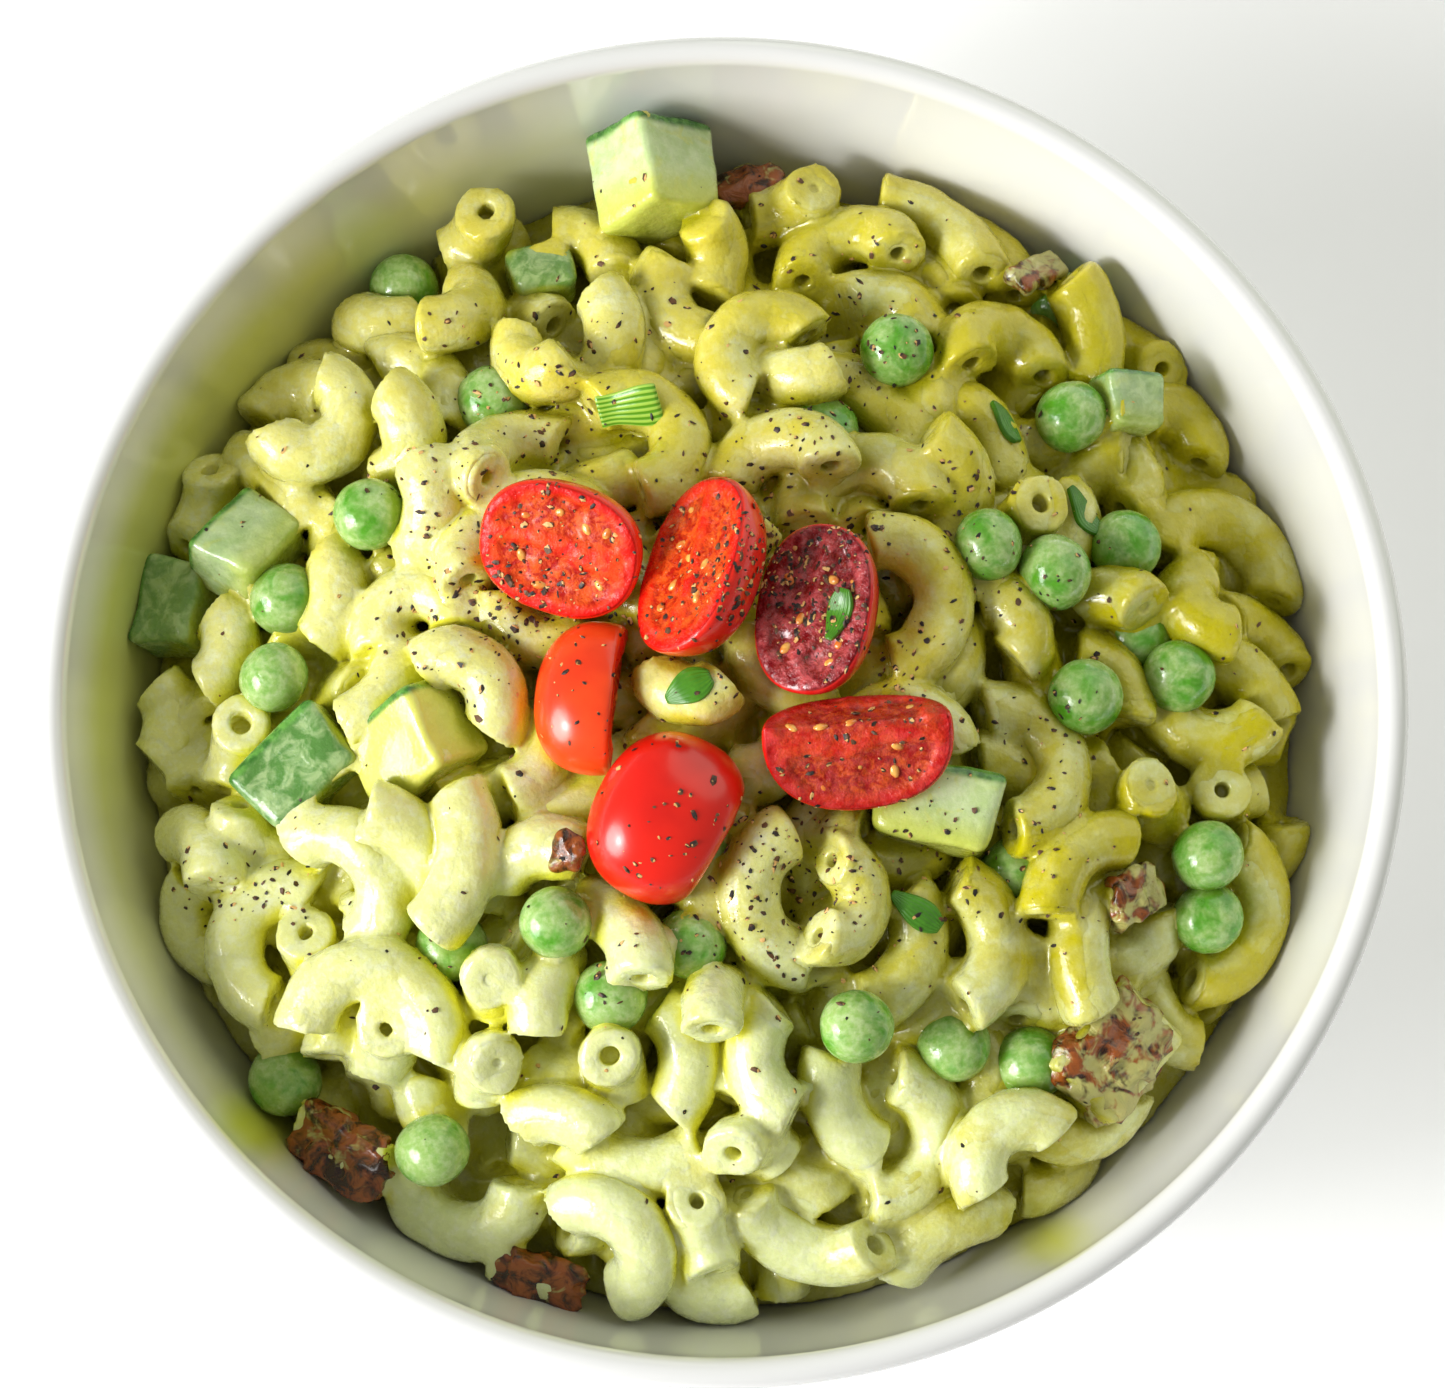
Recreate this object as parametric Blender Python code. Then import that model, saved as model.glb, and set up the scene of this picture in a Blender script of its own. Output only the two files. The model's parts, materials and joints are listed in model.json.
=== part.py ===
"""Pasta salad in a plain white bowl.

Elbow macaroni in a creamy dressing is heaped in a glazed bowl with peas, cucumber cubes and
browned dried tomato. Six cut cherry tomatoes lie on top. Lengths are in millimetres until a
mesh is made, +Z is up and the origin is on the bowl's axis, where its foot stands.
"""

import math
import random

import bmesh
import bpy
import numpy as np
from mathutils import Matrix, Vector

MM = 0.001
GAP = 0.3
CORE_GAP = 0.5
SLIVER = 0.005 * MM

# Bowl: one turned wall on a foot ring
RIM_RADIUS = 80.0
BOWL_HEIGHT = 62.0
LIP_RADIUS = 1.8
FOOT_OUTER = 37.5
FOOT_INNER = 33.5
FOOT_DEPTH = 2.5
SHOULDER_RADIUS = 39.5
SHOULDER_HEIGHT = 4.0
FLOOR_RADIUS = 36.0
FLOOR_HEIGHT = 7.0
WALL_TURN = math.radians(68)
BOWL_SIDES = 36

# Heap: how high the salad stands, and how its pieces are seen from above
FOOD_LINE = 47.5
FOOD_RADIUS = 72.5
MOUND_RISE = 21.0
HEAP_LEAN = 2.5 / 70
HOLLOW_WAVE = 0.3
HOLLOW_DEPTH = 0.9
CORE_DEPTH = 7.5
CORE_EDGE = 38.0
CORE_ROWS = 3
CORE_RINGS = 3
SIGHT_TILT = math.radians(10)
SIGHT_RANGE = 560.0

# Ingredients
ELBOW_RADIUS = 3.45
SEGMENT_LENGTH = 5.0
TUBE_SIDES = 6
PEA_RADIUS = 4.3
SCALLION_THICKNESS = 0.7
TOUCH = 0.88
GAP_SPACING = 5.0
GAP_CLEAR = 7.5
WALL_MARGIN = 0.6
BLUNTNESS = 2.3
UPRIGHT_SHAPE = (90, 7.0)
BALL_STEP = 2.4
TUBE_DRAWN = 1.05
GAP_BEND = 6.0
GAP_DEPTH = 2.5
CUBE_BALL = 0.42
DRIED_THICKNESS = 0.55
CUT_SUNK = 1.0
TOMATO_SIDES = 12
TOMATO_ROWS = 4
POCKET_ROOM = 0.5
BALL_DRAWN = 1.08
BLOCK_CORNERS = (0.42, 0.5)
CORE_INSET = 0.6
LEAF_COLUMNS = 4
LEAF_WAVE = 0.35

# Settling: how the pieces are eased off each other and off what holds them
SETTLE_ROUNDS = 70
PULL_BACK = 0.08
TURN_LIMIT = 0.08
TURN_DRAG = 4.0
TOMATO_ROOM = 0.6
CORE_CLEAR = 0.2

# Elbows: x and y of the middle of the bend as seen from above, the way its open side faces,
# its sweep, its bend radius, how far its ends dip, its roll, and its lift over the heap
ELBOWS = (
    (-30, 46, 185, 160, 5.5, 10, 0, 0),
    (-34, 39, 225, 140, 6, 0, 10, -3),
    (-40, 45, 100, 90, 6, 30, 20, -4),
    (-45, 30.5, 135, 230, 5, 5, 0, 0),
    (-52, 36, 300, 120, 6, 20, 0, -5),
    (-53, 27, 235, 75, 12, 5, 0, -1),
    (-36, 31, 205, 150, 5, 20, -20, -1),
    (-31, 21, 185, 120, 6, 15, 0, -1),
    (-45, 12, 190, 80, 9, 10, 0, -3),
    (-36, 14, 280, 200, 5, 5, 0, 0),
    (-28, 4, 200, 160, 5.5, 10, 0, 0),
    (-23.5, 38, 75, 150, 5, -10, 0, 0),
    (-12.5, 43, 170, 95, 8, 15, -15, -1),
    (-28.5, 30, 350, 170, 6.5, 5, 0, 0),
    (-6, 33, 205, 200, 6.5, 5, 0, 1),
    (-27, 22, 320, 170, 8, 5, 0, -2),
    (-24, 8, 60, 130, 6, -20, 0, -2),
    (2, 43, 340, 210, 5.5, 5, 0, 1),
    (8, 37, 20, 110, 6, 20, 0, -3),
    (22, 48, 270, 140, 6, 0, -10, -1),
    (15, 56, 275, 180, 6, 0, 0, 0),
    (26.5, 56.5, 225, 75, 14, -5, -40, 3),
    (25, 51, 220, 60, 12, 0, 0, -4),
    (32, 53, 235, 70, 11, 0, 0, -4),
    (44, 44, 220, 70, 12, 0, 0, 0),
    (51, 42, 200, 80, 7, 0, 10, -3),
    (32, 44, 280, 200, 5.5, 5, 0, 1),
    (18, 35, 215, 70, 13, 0, 0, -1),
    (54, 34, 180, 160, 5, 0, 0, -6),
    (49, 27, 190, 140, 5, 0, 0, -2),
    (31, 32, 200, 120, 7, 10, 0, -2),
    (16, 30, 285, 190, 7, 5, 0, 1),
    (28, 22, 190, 140, 9, 5, 0, -1),
    (26, 13, 185, 180, 7.5, 5, 0, 2),
    (7, 31, 250, 150, 7, 5, 0, 0),
    (35, 11, 190, 150, 4.5, 15, 0, 0),
    (41, 20, 160, 90, 6, 10, 0, -2),
    (46, 12, 250, 80, 7, 10, 0, 0),
    (61, 20, 215, 180, 8, 0, 0, -5),
    (54, 11, 10, 160, 5, 5, 0, 0),
    (62, 4, 240, 70, 10, 0, 0, 0),
    (65, 9, 180, 120, 6, 0, 0, -6),
    (46, 3, 200, 90, 7, 0, 0, -2),
    (-60, -19, 240, 80, 9, 0, 0, -1),
    (-40, -19, 215, 200, 6.5, 0, 0, 0),
    (-57, -26, 340, 190, 7, 0, 0, 1),
    (-47, -30, 0, 90, 6, -50, 0, -4),
    (-38.5, -31, 265, 190, 8, 0, 0, 1),
    (-35, -17, 210, 70, 12, 5, 0, 0),
    (-29, -19, 160, 80, 13, 0, 0, 1),
    (-22, -17, 270, 90, 8, 10, 0, 0),
    (-22, -6, 180, 90, 9, 10, 0, -1),
    (-61, -25, 30, 110, 6, 0, 0, -7),
    (-11, -27, 215, 75, 11, 10, 0, 0),
    (-31, -62, 95, 190, 7, 0, 0, 1),
    (-18, -48, 250, 90, 7, 10, 0, 0),
    (-10, -54, 80, 75, 13, 0, 0, -1),
    (-9, -61, 200, 200, 6, 0, 0, 1),
    (-4, -68, 100, 130, 6, 0, 0, -5),
    (-4, -41, 180, 100, 8, 0, 0, -2),
    (40, -7, 180, 190, 7.5, 0, 14, 2),
    (40, -18, 330, 90, 10, 5, 0, 1),
    (64, -27, 165, 160, 8.5, 0, 0, 1),
    (48, -30, 90, 140, 5, -30, 0, -4),
    (39, -29, 310, 75, 12, 0, 0, -2),
    (33, -28, 180, 130, 8, 0, 0, 1),
    (22, -30, 180, 120, 8, 0, 0, -2),
    (3, -24, 0, 150, 8, 5, 0, 0),
    (16, -24, 170, 200, 4.5, -10, 15, 1),
    (25, -51, 175, 170, 7.5, 0, 0, 1),
    (31, -49.5, 300, 170, 5.5, 0, 0, 1),
    (25, -61, 15, 110, 8, 0, 0, 0),
    (9, -62, 110, 130, 9, -10, -25, 1),
    (13, -48, 10, 90, 9, 0, 0, -3),
    (3, -42, 10, 110, 8, 0, 0, -1),
    (42, -50, 120, 130, 6, 0, 0, -5),
    (38, -33, 60, 120, 6, 0, 0, -5),
    (-6, 1, 90, 120, 5, 10, 0, 1),
    (-14, 54, 250, 90, 8, 10, 0, -2),
    (-6, 46, 20, 120, 7, 5, 0, -3),
)

# Elbows standing with an open end up: x, y of that end, way it leans, lean and lift
UPRIGHT = (
    (-29.3, 56, 180, 10, 0),
    (-1.6, 53.4, 210, 20, 0),
    (8.2, 58.7, 160, 25, 0),
    (-61.6, 23.8, 200, 10, -6),
    (-64.6, -3.3, 180, 10, -7),
    (-56.2, -5, 250, 20, -2),
    (34.5, 19, 240, 30, 0),
    (-26.7, -32, 270, 15, 2),
    (-27.8, -41.3, 300, 15, 1),
    (-39, -40, 250, 30, 0),
    (-12.8, -41.3, 280, 15, 0),
    (-20.5, -36, 270, 60, -1),
    (3, -50.1, 270, 20, 0),
    (-2.7, -59.9, 290, 15, 0),
    (-0.9, -35.8, 275, 35, 1),
    (50.5, -12, 0, 30, 0),
    (60, -10.5, 20, 40, -2),
)

# Peas: x, y and lift
PEAS = (
    (-42, 51, 0), (-29, 35, -3), (-30, 28, -3), (-41, 21.5, 1), (-51, 12, -2), (-53, 2, 1),
    (21, 41, 1), (45, 46, -4), (42, 34, 0), (13, 31, -3), (31.5, 17, 0), (38, 14, 1),
    (47, 18, 1), (48, 6.5, -1), (53, 4, 0), (42, 0, 0), (-18, -26, 0), (-34, -27.5, -2),
    (-10, -34.5, 1), (-4, -30, 0), (-34, -52, 1), (-52, -45, -2), (57, -18, 2), (54.5, -25, 0),
    (16, -37, 2), (26, -40, -2), (36, -42, -2), (34, -21, -2), (1, -19, 0),
)

# Cucumber: x, y, three edge lengths, turn, tilt, roll and lift
CUCUMBER = (
    (-8.3, 63.3, (11.3, 12.5, 11.3), 8, 22, 43, 7),
    (-36, -5.5, (13, 11, 9), 22, 12, -24, 1),
    (-49.5, -8, (13, 10, 8), 40, 12, 8, 0),
    (-55.5, 18, (11, 10, 8.5), 62, 20, 24, 0),
    (-64.8, 11.5, (10.5, 9, 8), 38, 15, 12, -3),
    (24.5, -11.5, (13.5, 9.5, 9), -16, 30, 0, 0),
    (48, 35, (7.5, 7, 7), 5, 10, 10, 2),
    (-21.5, 51, (8, 7, 6), 20, 10, 0, -4),
)

# Browned dried tomato: x, y, length, width, turn and lift
DRIED = (
    (44.5, -40.5, 15, 12, 60, 0),
    (-44, -52, 14, 8, -15, 0),
    (47.5, -23, 8, 6, 30, 1),
    (37, 50, 9, 4, 30, 0),
    (3, 61, 9, 5, 10, -2),
    (-17.5, -18, 5, 4, 50, 1),
    (-22, -66, 12, 6, -20, -3),
)

# Cut cherry tomatoes: x, y, half length, half width, depth, turn, tilt, roll, lift, and how far
# a second cut lies from the middle
TOMATOES = (
    (-19.3, 16.9, 9.8, 8.0, 7.6, -18, -8, 30, 4.2, 9.0),
    (-3.9, 15.5, 10.9, 8.0, 8.2, 74, 4, -48, 5.6, 9.0),
    (10.5, 10.2, 10.0, 7.2, 7.8, 80, -4, -22, 3.9, 9.0),
    (-14.5, 0.4, 9.2, 7.5, 6.6, 84, 3, 172, 1.8, 2.6),
    (-6.7, -13.1, 10.1, 8.5, 8.2, 62, 0, 190, 5.8, 6.6),
    (15.7, -5.0, 11.0, 9.3, 7.6, 4, -3, 34, 5.2, 2.2),
)

# Scallion slices: x, y, length, width and turn
SCALLIONS = (
    (-11, 34, 7.6, 4.6, 12),
    (22.5, -24.6, 7, 3.5, -35),
    (-4, 0.5, 6, 4, 25),
    (33.4, 32.6, 6, 2.6, -62),
    (42.5, 22, 6.5, 3.2, -50),
)


def turn_about(axis, degrees):
    """A 3 x 3 rotation about the X, Y or Z axis."""
    return np.array(Matrix.Rotation(math.radians(degrees), 3, axis))


def wall_radius(height, outer=False):
    """Radius of the bowl's inner or outer wall at a height."""
    foot, start = (SHOULDER_RADIUS, SHOULDER_HEIGHT) if outer else (FLOOR_RADIUS, FLOOR_HEIGHT)
    top = RIM_RADIUS if outer else RIM_RADIUS - 2 * LIP_RADIUS
    rise = np.clip((height - start) / (BOWL_HEIGHT - LIP_RADIUS - start), 0, 1)
    angle = np.arccos(1 - rise * (1 - math.cos(WALL_TURN)))
    return foot + (top - foot) * np.sin(angle) / math.sin(WALL_TURN)


def wall_row(rows, start, end, outer=False):
    """Points up the wall between two heights, closer together where it curves most."""
    heights = [start + (end - start) * (i / rows) ** 1.5 for i in range(rows + 1)]
    return [(float(wall_radius(height, outer)), height) for height in heights]


def heap_height(x, y):
    """Height of the salad's outer surface over the foot."""
    spread = np.minimum((x * x + y * y) / FOOD_RADIUS**2, 1.0)
    return FOOD_LINE - HEAP_LEAN * y + MOUND_RISE * (1.0 - spread)


def core_height(x, y):
    """Height of the packed core under the pieces that show, with gentle hollows."""
    short = np.sin(x * HOLLOW_WAVE + 1.0) * np.cos(y * HOLLOW_WAVE - 0.6)
    long = np.sin(x * HOLLOW_WAVE / 2 - y * HOLLOW_WAVE)
    return heap_height(x, y) - CORE_DEPTH + HOLLOW_DEPTH * (short + long / 2)


def surface_turn(x, y):
    """The rotation that lays a piece on the slope of the mound."""
    slope = 2 * MOUND_RISE / FOOD_RADIUS**2
    normal = Vector((slope * x, slope * y + HEAP_LEAN, 1.0)).normalized()
    return np.array(Vector((0, 0, 1)).rotation_difference(normal).to_matrix())


def plan_place(x, y, lift):
    """Slide a place seen at rim height down the line of sight to the heap."""
    height = heap_height(x, y) + lift - BOWL_HEIGHT
    scale = 1 - height / SIGHT_RANGE
    return np.array((
        x * scale,
        (y * scale - height * math.sin(SIGHT_TILT)) / math.cos(SIGHT_TILT),
    ))


class Piece:
    """One ingredient as a chain of balls, with the place and turn it settles into."""

    def __init__(self, kind, place, lift, turn, balls, radius, size=None):
        x, y = plan_place(place[0], place[1], lift)
        self.kind = kind
        self.size = size
        self.turn = surface_turn(x, y) @ turn
        self.balls = np.array(balls, dtype=float)
        self.radius = radius
        top = (self.balls @ self.turn.T)[:, 2].max() + radius
        self.place = np.array((x, y, heap_height(x, y) + lift - top))
        self.target = self.place.copy()

    def world(self, points):
        """Points of the piece where they lie in the bowl."""
        return np.asarray(points) @ self.turn.T + self.place


def bend_points(sweep, bend, count):
    """Points along an elbow's middle line, open toward +X, its middle at the origin."""
    angles = np.radians(np.linspace(-sweep / 2, sweep / 2, count))
    return np.stack((bend - bend * np.cos(angles), bend * np.sin(angles), 0 * angles), axis=1)


def elbow_pieces():
    """The macaroni that shows, each bent, dipped and rolled a little differently."""
    rng = random.Random(11)
    pieces = []
    for x, y, face, sweep, bend, dip, roll, lift in ELBOWS:
        turn = (turn_about("Z", face + rng.uniform(-5, 5))
                @ turn_about("Y", dip + rng.uniform(-8, 8))
                @ turn_about("X", roll + rng.uniform(-12, 12)))
        balls = bend_points(sweep, bend, max(4, round(math.radians(sweep) * bend / BALL_STEP)))
        pieces.append(Piece("elbow", (x, y), lift, turn, balls, ELBOW_RADIUS, (sweep, bend)))
    return pieces


def upright_pieces():
    """The macaroni that stands, each placed by the open end that shows."""
    sweep, bend = UPRIGHT_SHAPE
    pieces = []
    for x, y, face, lean, lift in UPRIGHT:
        turn = turn_about("Z", face) @ turn_about("Y", lean - sweep / 2) @ turn_about("X", 90)
        balls = bend_points(sweep, bend, 5)
        piece = Piece("elbow", (x, y), lift, turn, balls, ELBOW_RADIUS, (sweep, bend))
        piece.turn = turn
        end = max((turn @ np.array(ball) for ball in (balls[0], balls[-1])), key=lambda p: p[2])
        plan = plan_place(x, y, lift)
        piece.place = np.array((*plan, heap_height(*plan) + lift)) - end
        piece.target = piece.place.copy()
        pieces.append(piece)
    return pieces


def gap_pieces(pieces):
    """Short elbows wherever the pieces placed by eye leave the heap bare."""
    rng = random.Random(23)
    places = np.array([piece.world(ball)[:2] for piece in pieces for ball in piece.balls])
    step = GAP_SPACING
    count = int(FOOD_RADIUS / step)
    found = []
    for row in range(-count, count + 1):
        for column in range(-count, count + 1):
            x = (column + 0.5 * (row % 2)) * step + rng.uniform(-1, 1)
            y = row * step * 0.87 + rng.uniform(-1, 1)
            face, sweep, roll = rng.uniform(0, 360), rng.uniform(70, 130), rng.uniform(-30, 30)
            near = np.sqrt(((places - (x, y)) ** 2).sum(axis=1)).min()
            if math.hypot(x, y) > FOOD_RADIUS - GAP_CLEAR or near < GAP_CLEAR:
                continue
            turn = turn_about("Z", face) @ turn_about("X", roll)
            balls = bend_points(sweep, GAP_BEND, 4)
            size = (sweep, GAP_BEND)
            piece = Piece("elbow", (x, y), -GAP_DEPTH, turn, balls, ELBOW_RADIUS, size)
            piece.place[:2] = (x, y)
            piece.target = piece.place.copy()
            found.append(piece)
            places = np.vstack((places, [piece.world(ball)[:2] for ball in balls]))
    return found


def small_pieces():
    """Peas, cucumber cubes and dried tomato among the macaroni."""
    pieces = []
    for x, y, lift in PEAS:
        pieces.append(Piece("pea", (x, y), lift, np.eye(3), [(0, 0, 0)], PEA_RADIUS))
    for x, y, edges, face, tilt, roll, lift in CUCUMBER:
        turn = turn_about("Z", face) @ turn_about("X", tilt) @ turn_about("Y", roll)
        radius = min(edges) * CUBE_BALL
        reach = [edge / 2 - radius for edge in edges]
        corners = [(a * reach[0], b * reach[1], c * reach[2])
                   for a in (-1, 1) for b in (-1, 1) for c in (-1, 1)]
        pieces.append(Piece("cucumber", (x, y), lift, turn, corners, radius, edges))
    for x, y, length, width, face, lift in DRIED:
        turn = turn_about("Z", face)
        edges = (length, width, width * DRIED_THICKNESS)
        reach = length / 2 - width / 3
        balls = [(-reach, 0, 0), (0, 0, 0), (reach, 0, 0)]
        pieces.append(Piece("dried", (x, y), lift, turn, balls, width / 3, edges))
    return pieces


def tomato_places():
    """Place, turn, half size and second cut of each tomato, its cut face toward its own +Z."""
    places = []
    for x, y, length, width, depth, face, tilt, roll, lift, cut in TOMATOES:
        plan = plan_place(x, y, lift)
        turn = turn_about("Z", face) @ turn_about("Y", tilt) @ turn_about("X", roll)
        height = heap_height(*plan) + lift
        sunk = depth if abs(roll) > 90 else CUT_SUNK
        axes = np.array((length, width, depth))
        places.append((np.array((*plan, height - sunk)), turn, axes, cut))
    return places


def bluntness(scaled):
    """How far out points lie in a blunt round body of unit half sizes: 1 on its skin."""
    return (np.abs(scaled) ** BLUNTNESS).sum(axis=-1) ** (1 / BLUNTNESS)


def push_from_tomatoes(points, radii, tomatoes):
    """How far each ball has to move to clear the cut tomatoes."""
    push = np.zeros_like(points)
    for place, turn, axes, cut in tomatoes:
        local = (points - place) @ turn
        scaled = local / axes
        size = np.maximum(bluntness(scaled), 1e-6)
        skin = (size - 1) * np.linalg.norm(local, axis=1) / size
        out = np.sign(scaled) * np.abs(scaled) ** (BLUNTNESS - 1) / axes
        out /= np.maximum(np.linalg.norm(out, axis=1), 1e-6)[:, None]
        flat = np.maximum(local[:, 2], local[:, 1] - cut)
        side = np.where((local[:, 2] > local[:, 1] - cut)[:, None], np.eye(3)[2], np.eye(3)[1])
        depth = np.maximum(skin, flat)
        normal = np.where((flat > skin)[:, None], side, out)
        need = radii + TOMATO_ROOM - depth
        push += np.where(need > 0, need, 0)[:, None] * (normal @ turn.T)
    return push


def push_from_bowl(points, radii):
    """How far each ball has to move to clear the wall and the core."""
    push = np.zeros_like(points)
    spread = np.maximum(np.linalg.norm(points[:, :2], axis=1), 1e-6)
    over = spread + radii + WALL_MARGIN - wall_radius(points[:, 2])
    over = np.where(points[:, 2] < BOWL_HEIGHT - LIP_RADIUS, np.maximum(over, 0), 0)
    push[:, :2] -= points[:, :2] * (over / spread)[:, None]
    floor = core_height(points[:, 0], points[:, 1]) + CORE_CLEAR * radii
    push[:, 2] += np.maximum(floor - points[:, 2], 0)
    return push


def settle(pieces, tomatoes):
    """Ease the pieces off each other, each held near the place where it is seen."""
    owner = np.concatenate([np.full(len(p.balls), i) for i, p in enumerate(pieces)])
    radii = np.concatenate([np.full(len(p.balls), p.radius) for p in pieces])
    reach = (radii[:, None] + radii[None, :]) * TOUCH
    other = owner[:, None] != owner[None, :]
    for _ in range(SETTLE_ROUNDS):
        points = np.concatenate([p.world(p.balls) for p in pieces])
        apart = points[:, None, :] - points[None, :, :]
        distance = np.sqrt((apart**2).sum(axis=2)) + 1e-6
        overlap = np.where(other, np.maximum(reach - distance, 0), 0)
        push = (apart * (overlap / distance)[:, :, None]).sum(axis=1) * 0.5
        push += push_from_bowl(points, radii)
        push += push_from_tomatoes(points, radii, tomatoes)
        touched = (np.abs(push).sum(axis=1) > 1e-4).astype(float)
        for i, piece in enumerate(pieces):
            mine = owner == i
            count = max(touched[mine].sum(), 1.0)
            move = push[mine].sum(axis=0) / count
            arm = points[mine] - points[mine].mean(axis=0)
            spread = (arm**2).sum() + TURN_DRAG * len(arm)
            twist = np.cross(arm, push[mine]).sum(axis=0) / spread
            angle = min(float(np.linalg.norm(twist)), TURN_LIMIT)
            if angle > 1e-5:
                axis = Vector(twist).normalized()
                centre = points[mine].mean(axis=0)
                spin = np.array(Matrix.Rotation(angle, 3, axis))
                piece.turn = spin @ piece.turn
                piece.place = centre + spin @ (piece.place - centre)
            pull = PULL_BACK * (piece.target - piece.place)
            piece.place = np.round(piece.place + move + pull, 5)


def build_mesh(name, points, faces):
    """A mesh object from points in millimetres."""
    mesh = bpy.data.meshes.new(name)
    mesh.from_pydata([Vector(p) * MM for p in points], [], faces)
    mesh.update()
    thing = bpy.data.objects.new(name, mesh)
    bpy.context.collection.objects.link(thing)
    return thing


def turned(name, profile, sides):
    """A closed solid turned about the Z axis; the profile starts and ends on the axis."""
    points = [(0.0, 0.0, profile[0][1])]
    for radius, height in profile[1:-1]:
        for i in range(sides):
            angle = 2 * math.pi * i / sides
            points.append((radius * math.cos(angle), radius * math.sin(angle), height))
    points.append((0.0, 0.0, profile[-1][1]))
    last = len(points) - 1
    faces = []
    for i in range(sides):
        after = (i + 1) % sides
        faces.append((0, 1 + after, 1 + i))
        for row in range(len(profile) - 3):
            low = 1 + row * sides
            high = low + sides
            faces.append((low + i, low + after, high + after, high + i))
        top = 1 + (len(profile) - 3) * sides
        faces.append((top + i, top + after, last))
    return build_mesh(name, points, faces)


def build_bowl():
    """The bowl: foot ring, outer wall, rounded lip, inner wall and floor."""
    profile = [(0.0, FOOT_DEPTH), (FOOT_INNER - 1, FOOT_DEPTH), (FOOT_INNER, 0.0)]
    profile += [(FOOT_OUTER, 0.0)]
    profile += wall_row(5, SHOULDER_HEIGHT, BOWL_HEIGHT - LIP_RADIUS, outer=True)
    for i in range(1, 4):
        angle = math.pi * i / 4
        profile.append((RIM_RADIUS - LIP_RADIUS + LIP_RADIUS * math.cos(angle),
                        BOWL_HEIGHT - LIP_RADIUS + LIP_RADIUS * math.sin(angle)))
    profile += wall_row(3, CORE_EDGE, BOWL_HEIGHT - LIP_RADIUS)[::-1]
    profile += wall_row(5, FLOOR_HEIGHT, CORE_EDGE)[::-1][1:]
    profile.append((0.0, FLOOR_HEIGHT))
    return turned("bowl", profile, BOWL_SIDES)


def build_core():
    """The packed middle of the salad, from the bowl's floor up to just under the pieces."""
    wall = [(radius - CORE_INSET, height + CORE_INSET)
            for radius, height in wall_row(CORE_ROWS, FLOOR_HEIGHT, CORE_EDGE)]
    profile = [(0.0, FLOOR_HEIGHT + CORE_INSET)] + wall
    outer = profile[-1][0]
    profile += [(outer * (1 - i / CORE_RINGS), 0.0) for i in range(1, CORE_RINGS)] + [(0.0, 0.0)]
    core = turned("salad_heap", profile, BOWL_SIDES)
    for vertex in core.data.vertices:
        x, y, z = np.array(vertex.co) / MM
        if z == 0.0:
            vertex.co.z = float(core_height(x, y)) * MM
    return core


def build_inner_space():
    """The room inside the bowl and over it, a little clear of the wall."""
    rim = BOWL_HEIGHT - LIP_RADIUS
    rows = wall_row(CORE_ROWS, FLOOR_HEIGHT, CORE_EDGE) + wall_row(2, CORE_EDGE, rim)[1:]
    wall = [(radius - CORE_GAP, height + CORE_GAP) for radius, height in rows]
    top = rim + 2 * MOUND_RISE
    profile = [(0.0, FLOOR_HEIGHT + CORE_GAP)] + wall + [(wall[-1][0], top), (0.0, top)]
    return turned("inner_space", profile, BOWL_SIDES)


def tube_mesh(name, piece, sides):
    """A solid elbow with few sides and flat ends."""
    sweep, bend = piece.size
    count = max(4, round(math.radians(sweep) * bend / SEGMENT_LENGTH) + 1)
    line = bend_points(sweep, bend, count)
    radius = piece.radius * TUBE_DRAWN
    points = []
    for i, (x, y, _) in enumerate(line):
        angle = math.radians(-sweep / 2 + sweep * i / (count - 1))
        outward = np.array((-math.cos(angle), math.sin(angle), 0.0))
        for k in range(sides):
            around = 2 * math.pi * k / sides
            points.append(np.array((x, y, 0.0)) + radius * (
                outward * math.cos(around) + np.array((0, 0, 1.0)) * math.sin(around)))
    faces = [tuple(reversed(range(sides)))]
    for i in range(count - 1):
        for k in range(sides):
            after = (k + 1) % sides
            low, high = i * sides, (i + 1) * sides
            faces.append((low + k, low + after, high + after, high + k))
    faces.append(tuple((count - 1) * sides + k for k in range(sides)))
    return build_mesh(name, piece.world(points), faces)


def blunted(point):
    """A point of a ball moved out to the same place on the blunt round body."""
    return point * (np.linalg.norm(point) / max(bluntness(point), 1e-9))


def ball_mesh(name, piece):
    """A pea as a ball of few faces, its corners drawn out so that it keeps its size."""
    bm = bmesh.new()
    bmesh.ops.create_icosphere(bm, subdivisions=1, radius=piece.radius * BALL_DRAWN)
    points = piece.world([tuple(v.co) for v in bm.verts])
    faces = [[v.index for v in face.verts] for face in bm.faces]
    bm.free()
    return build_mesh(name, points, faces)


def block_mesh(name, piece):
    """A box with its corners pulled in a little."""
    rng = random.Random(round(piece.target[0] * 7))
    points = []
    for corner in [(a, b, c) for a in (-1, 1) for b in (-1, 1) for c in (-1, 1)]:
        points.append(np.array(corner) * piece.size * rng.uniform(*BLOCK_CORNERS))
    faces = [(0, 1, 3, 2), (4, 6, 7, 5), (0, 4, 5, 1), (2, 3, 7, 6), (0, 2, 6, 4), (1, 5, 7, 3)]
    return build_mesh(name, piece.world(points), faces)


def piece_mesh(piece, index):
    """The few-sided solid of one ingredient."""
    name = f"{piece.kind}_{index}"
    if piece.kind == "elbow":
        return tube_mesh(name, piece, TUBE_SIDES)
    if piece.kind in ("cucumber", "dried"):
        return block_mesh(name, piece)
    return ball_mesh(name, piece)


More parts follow.
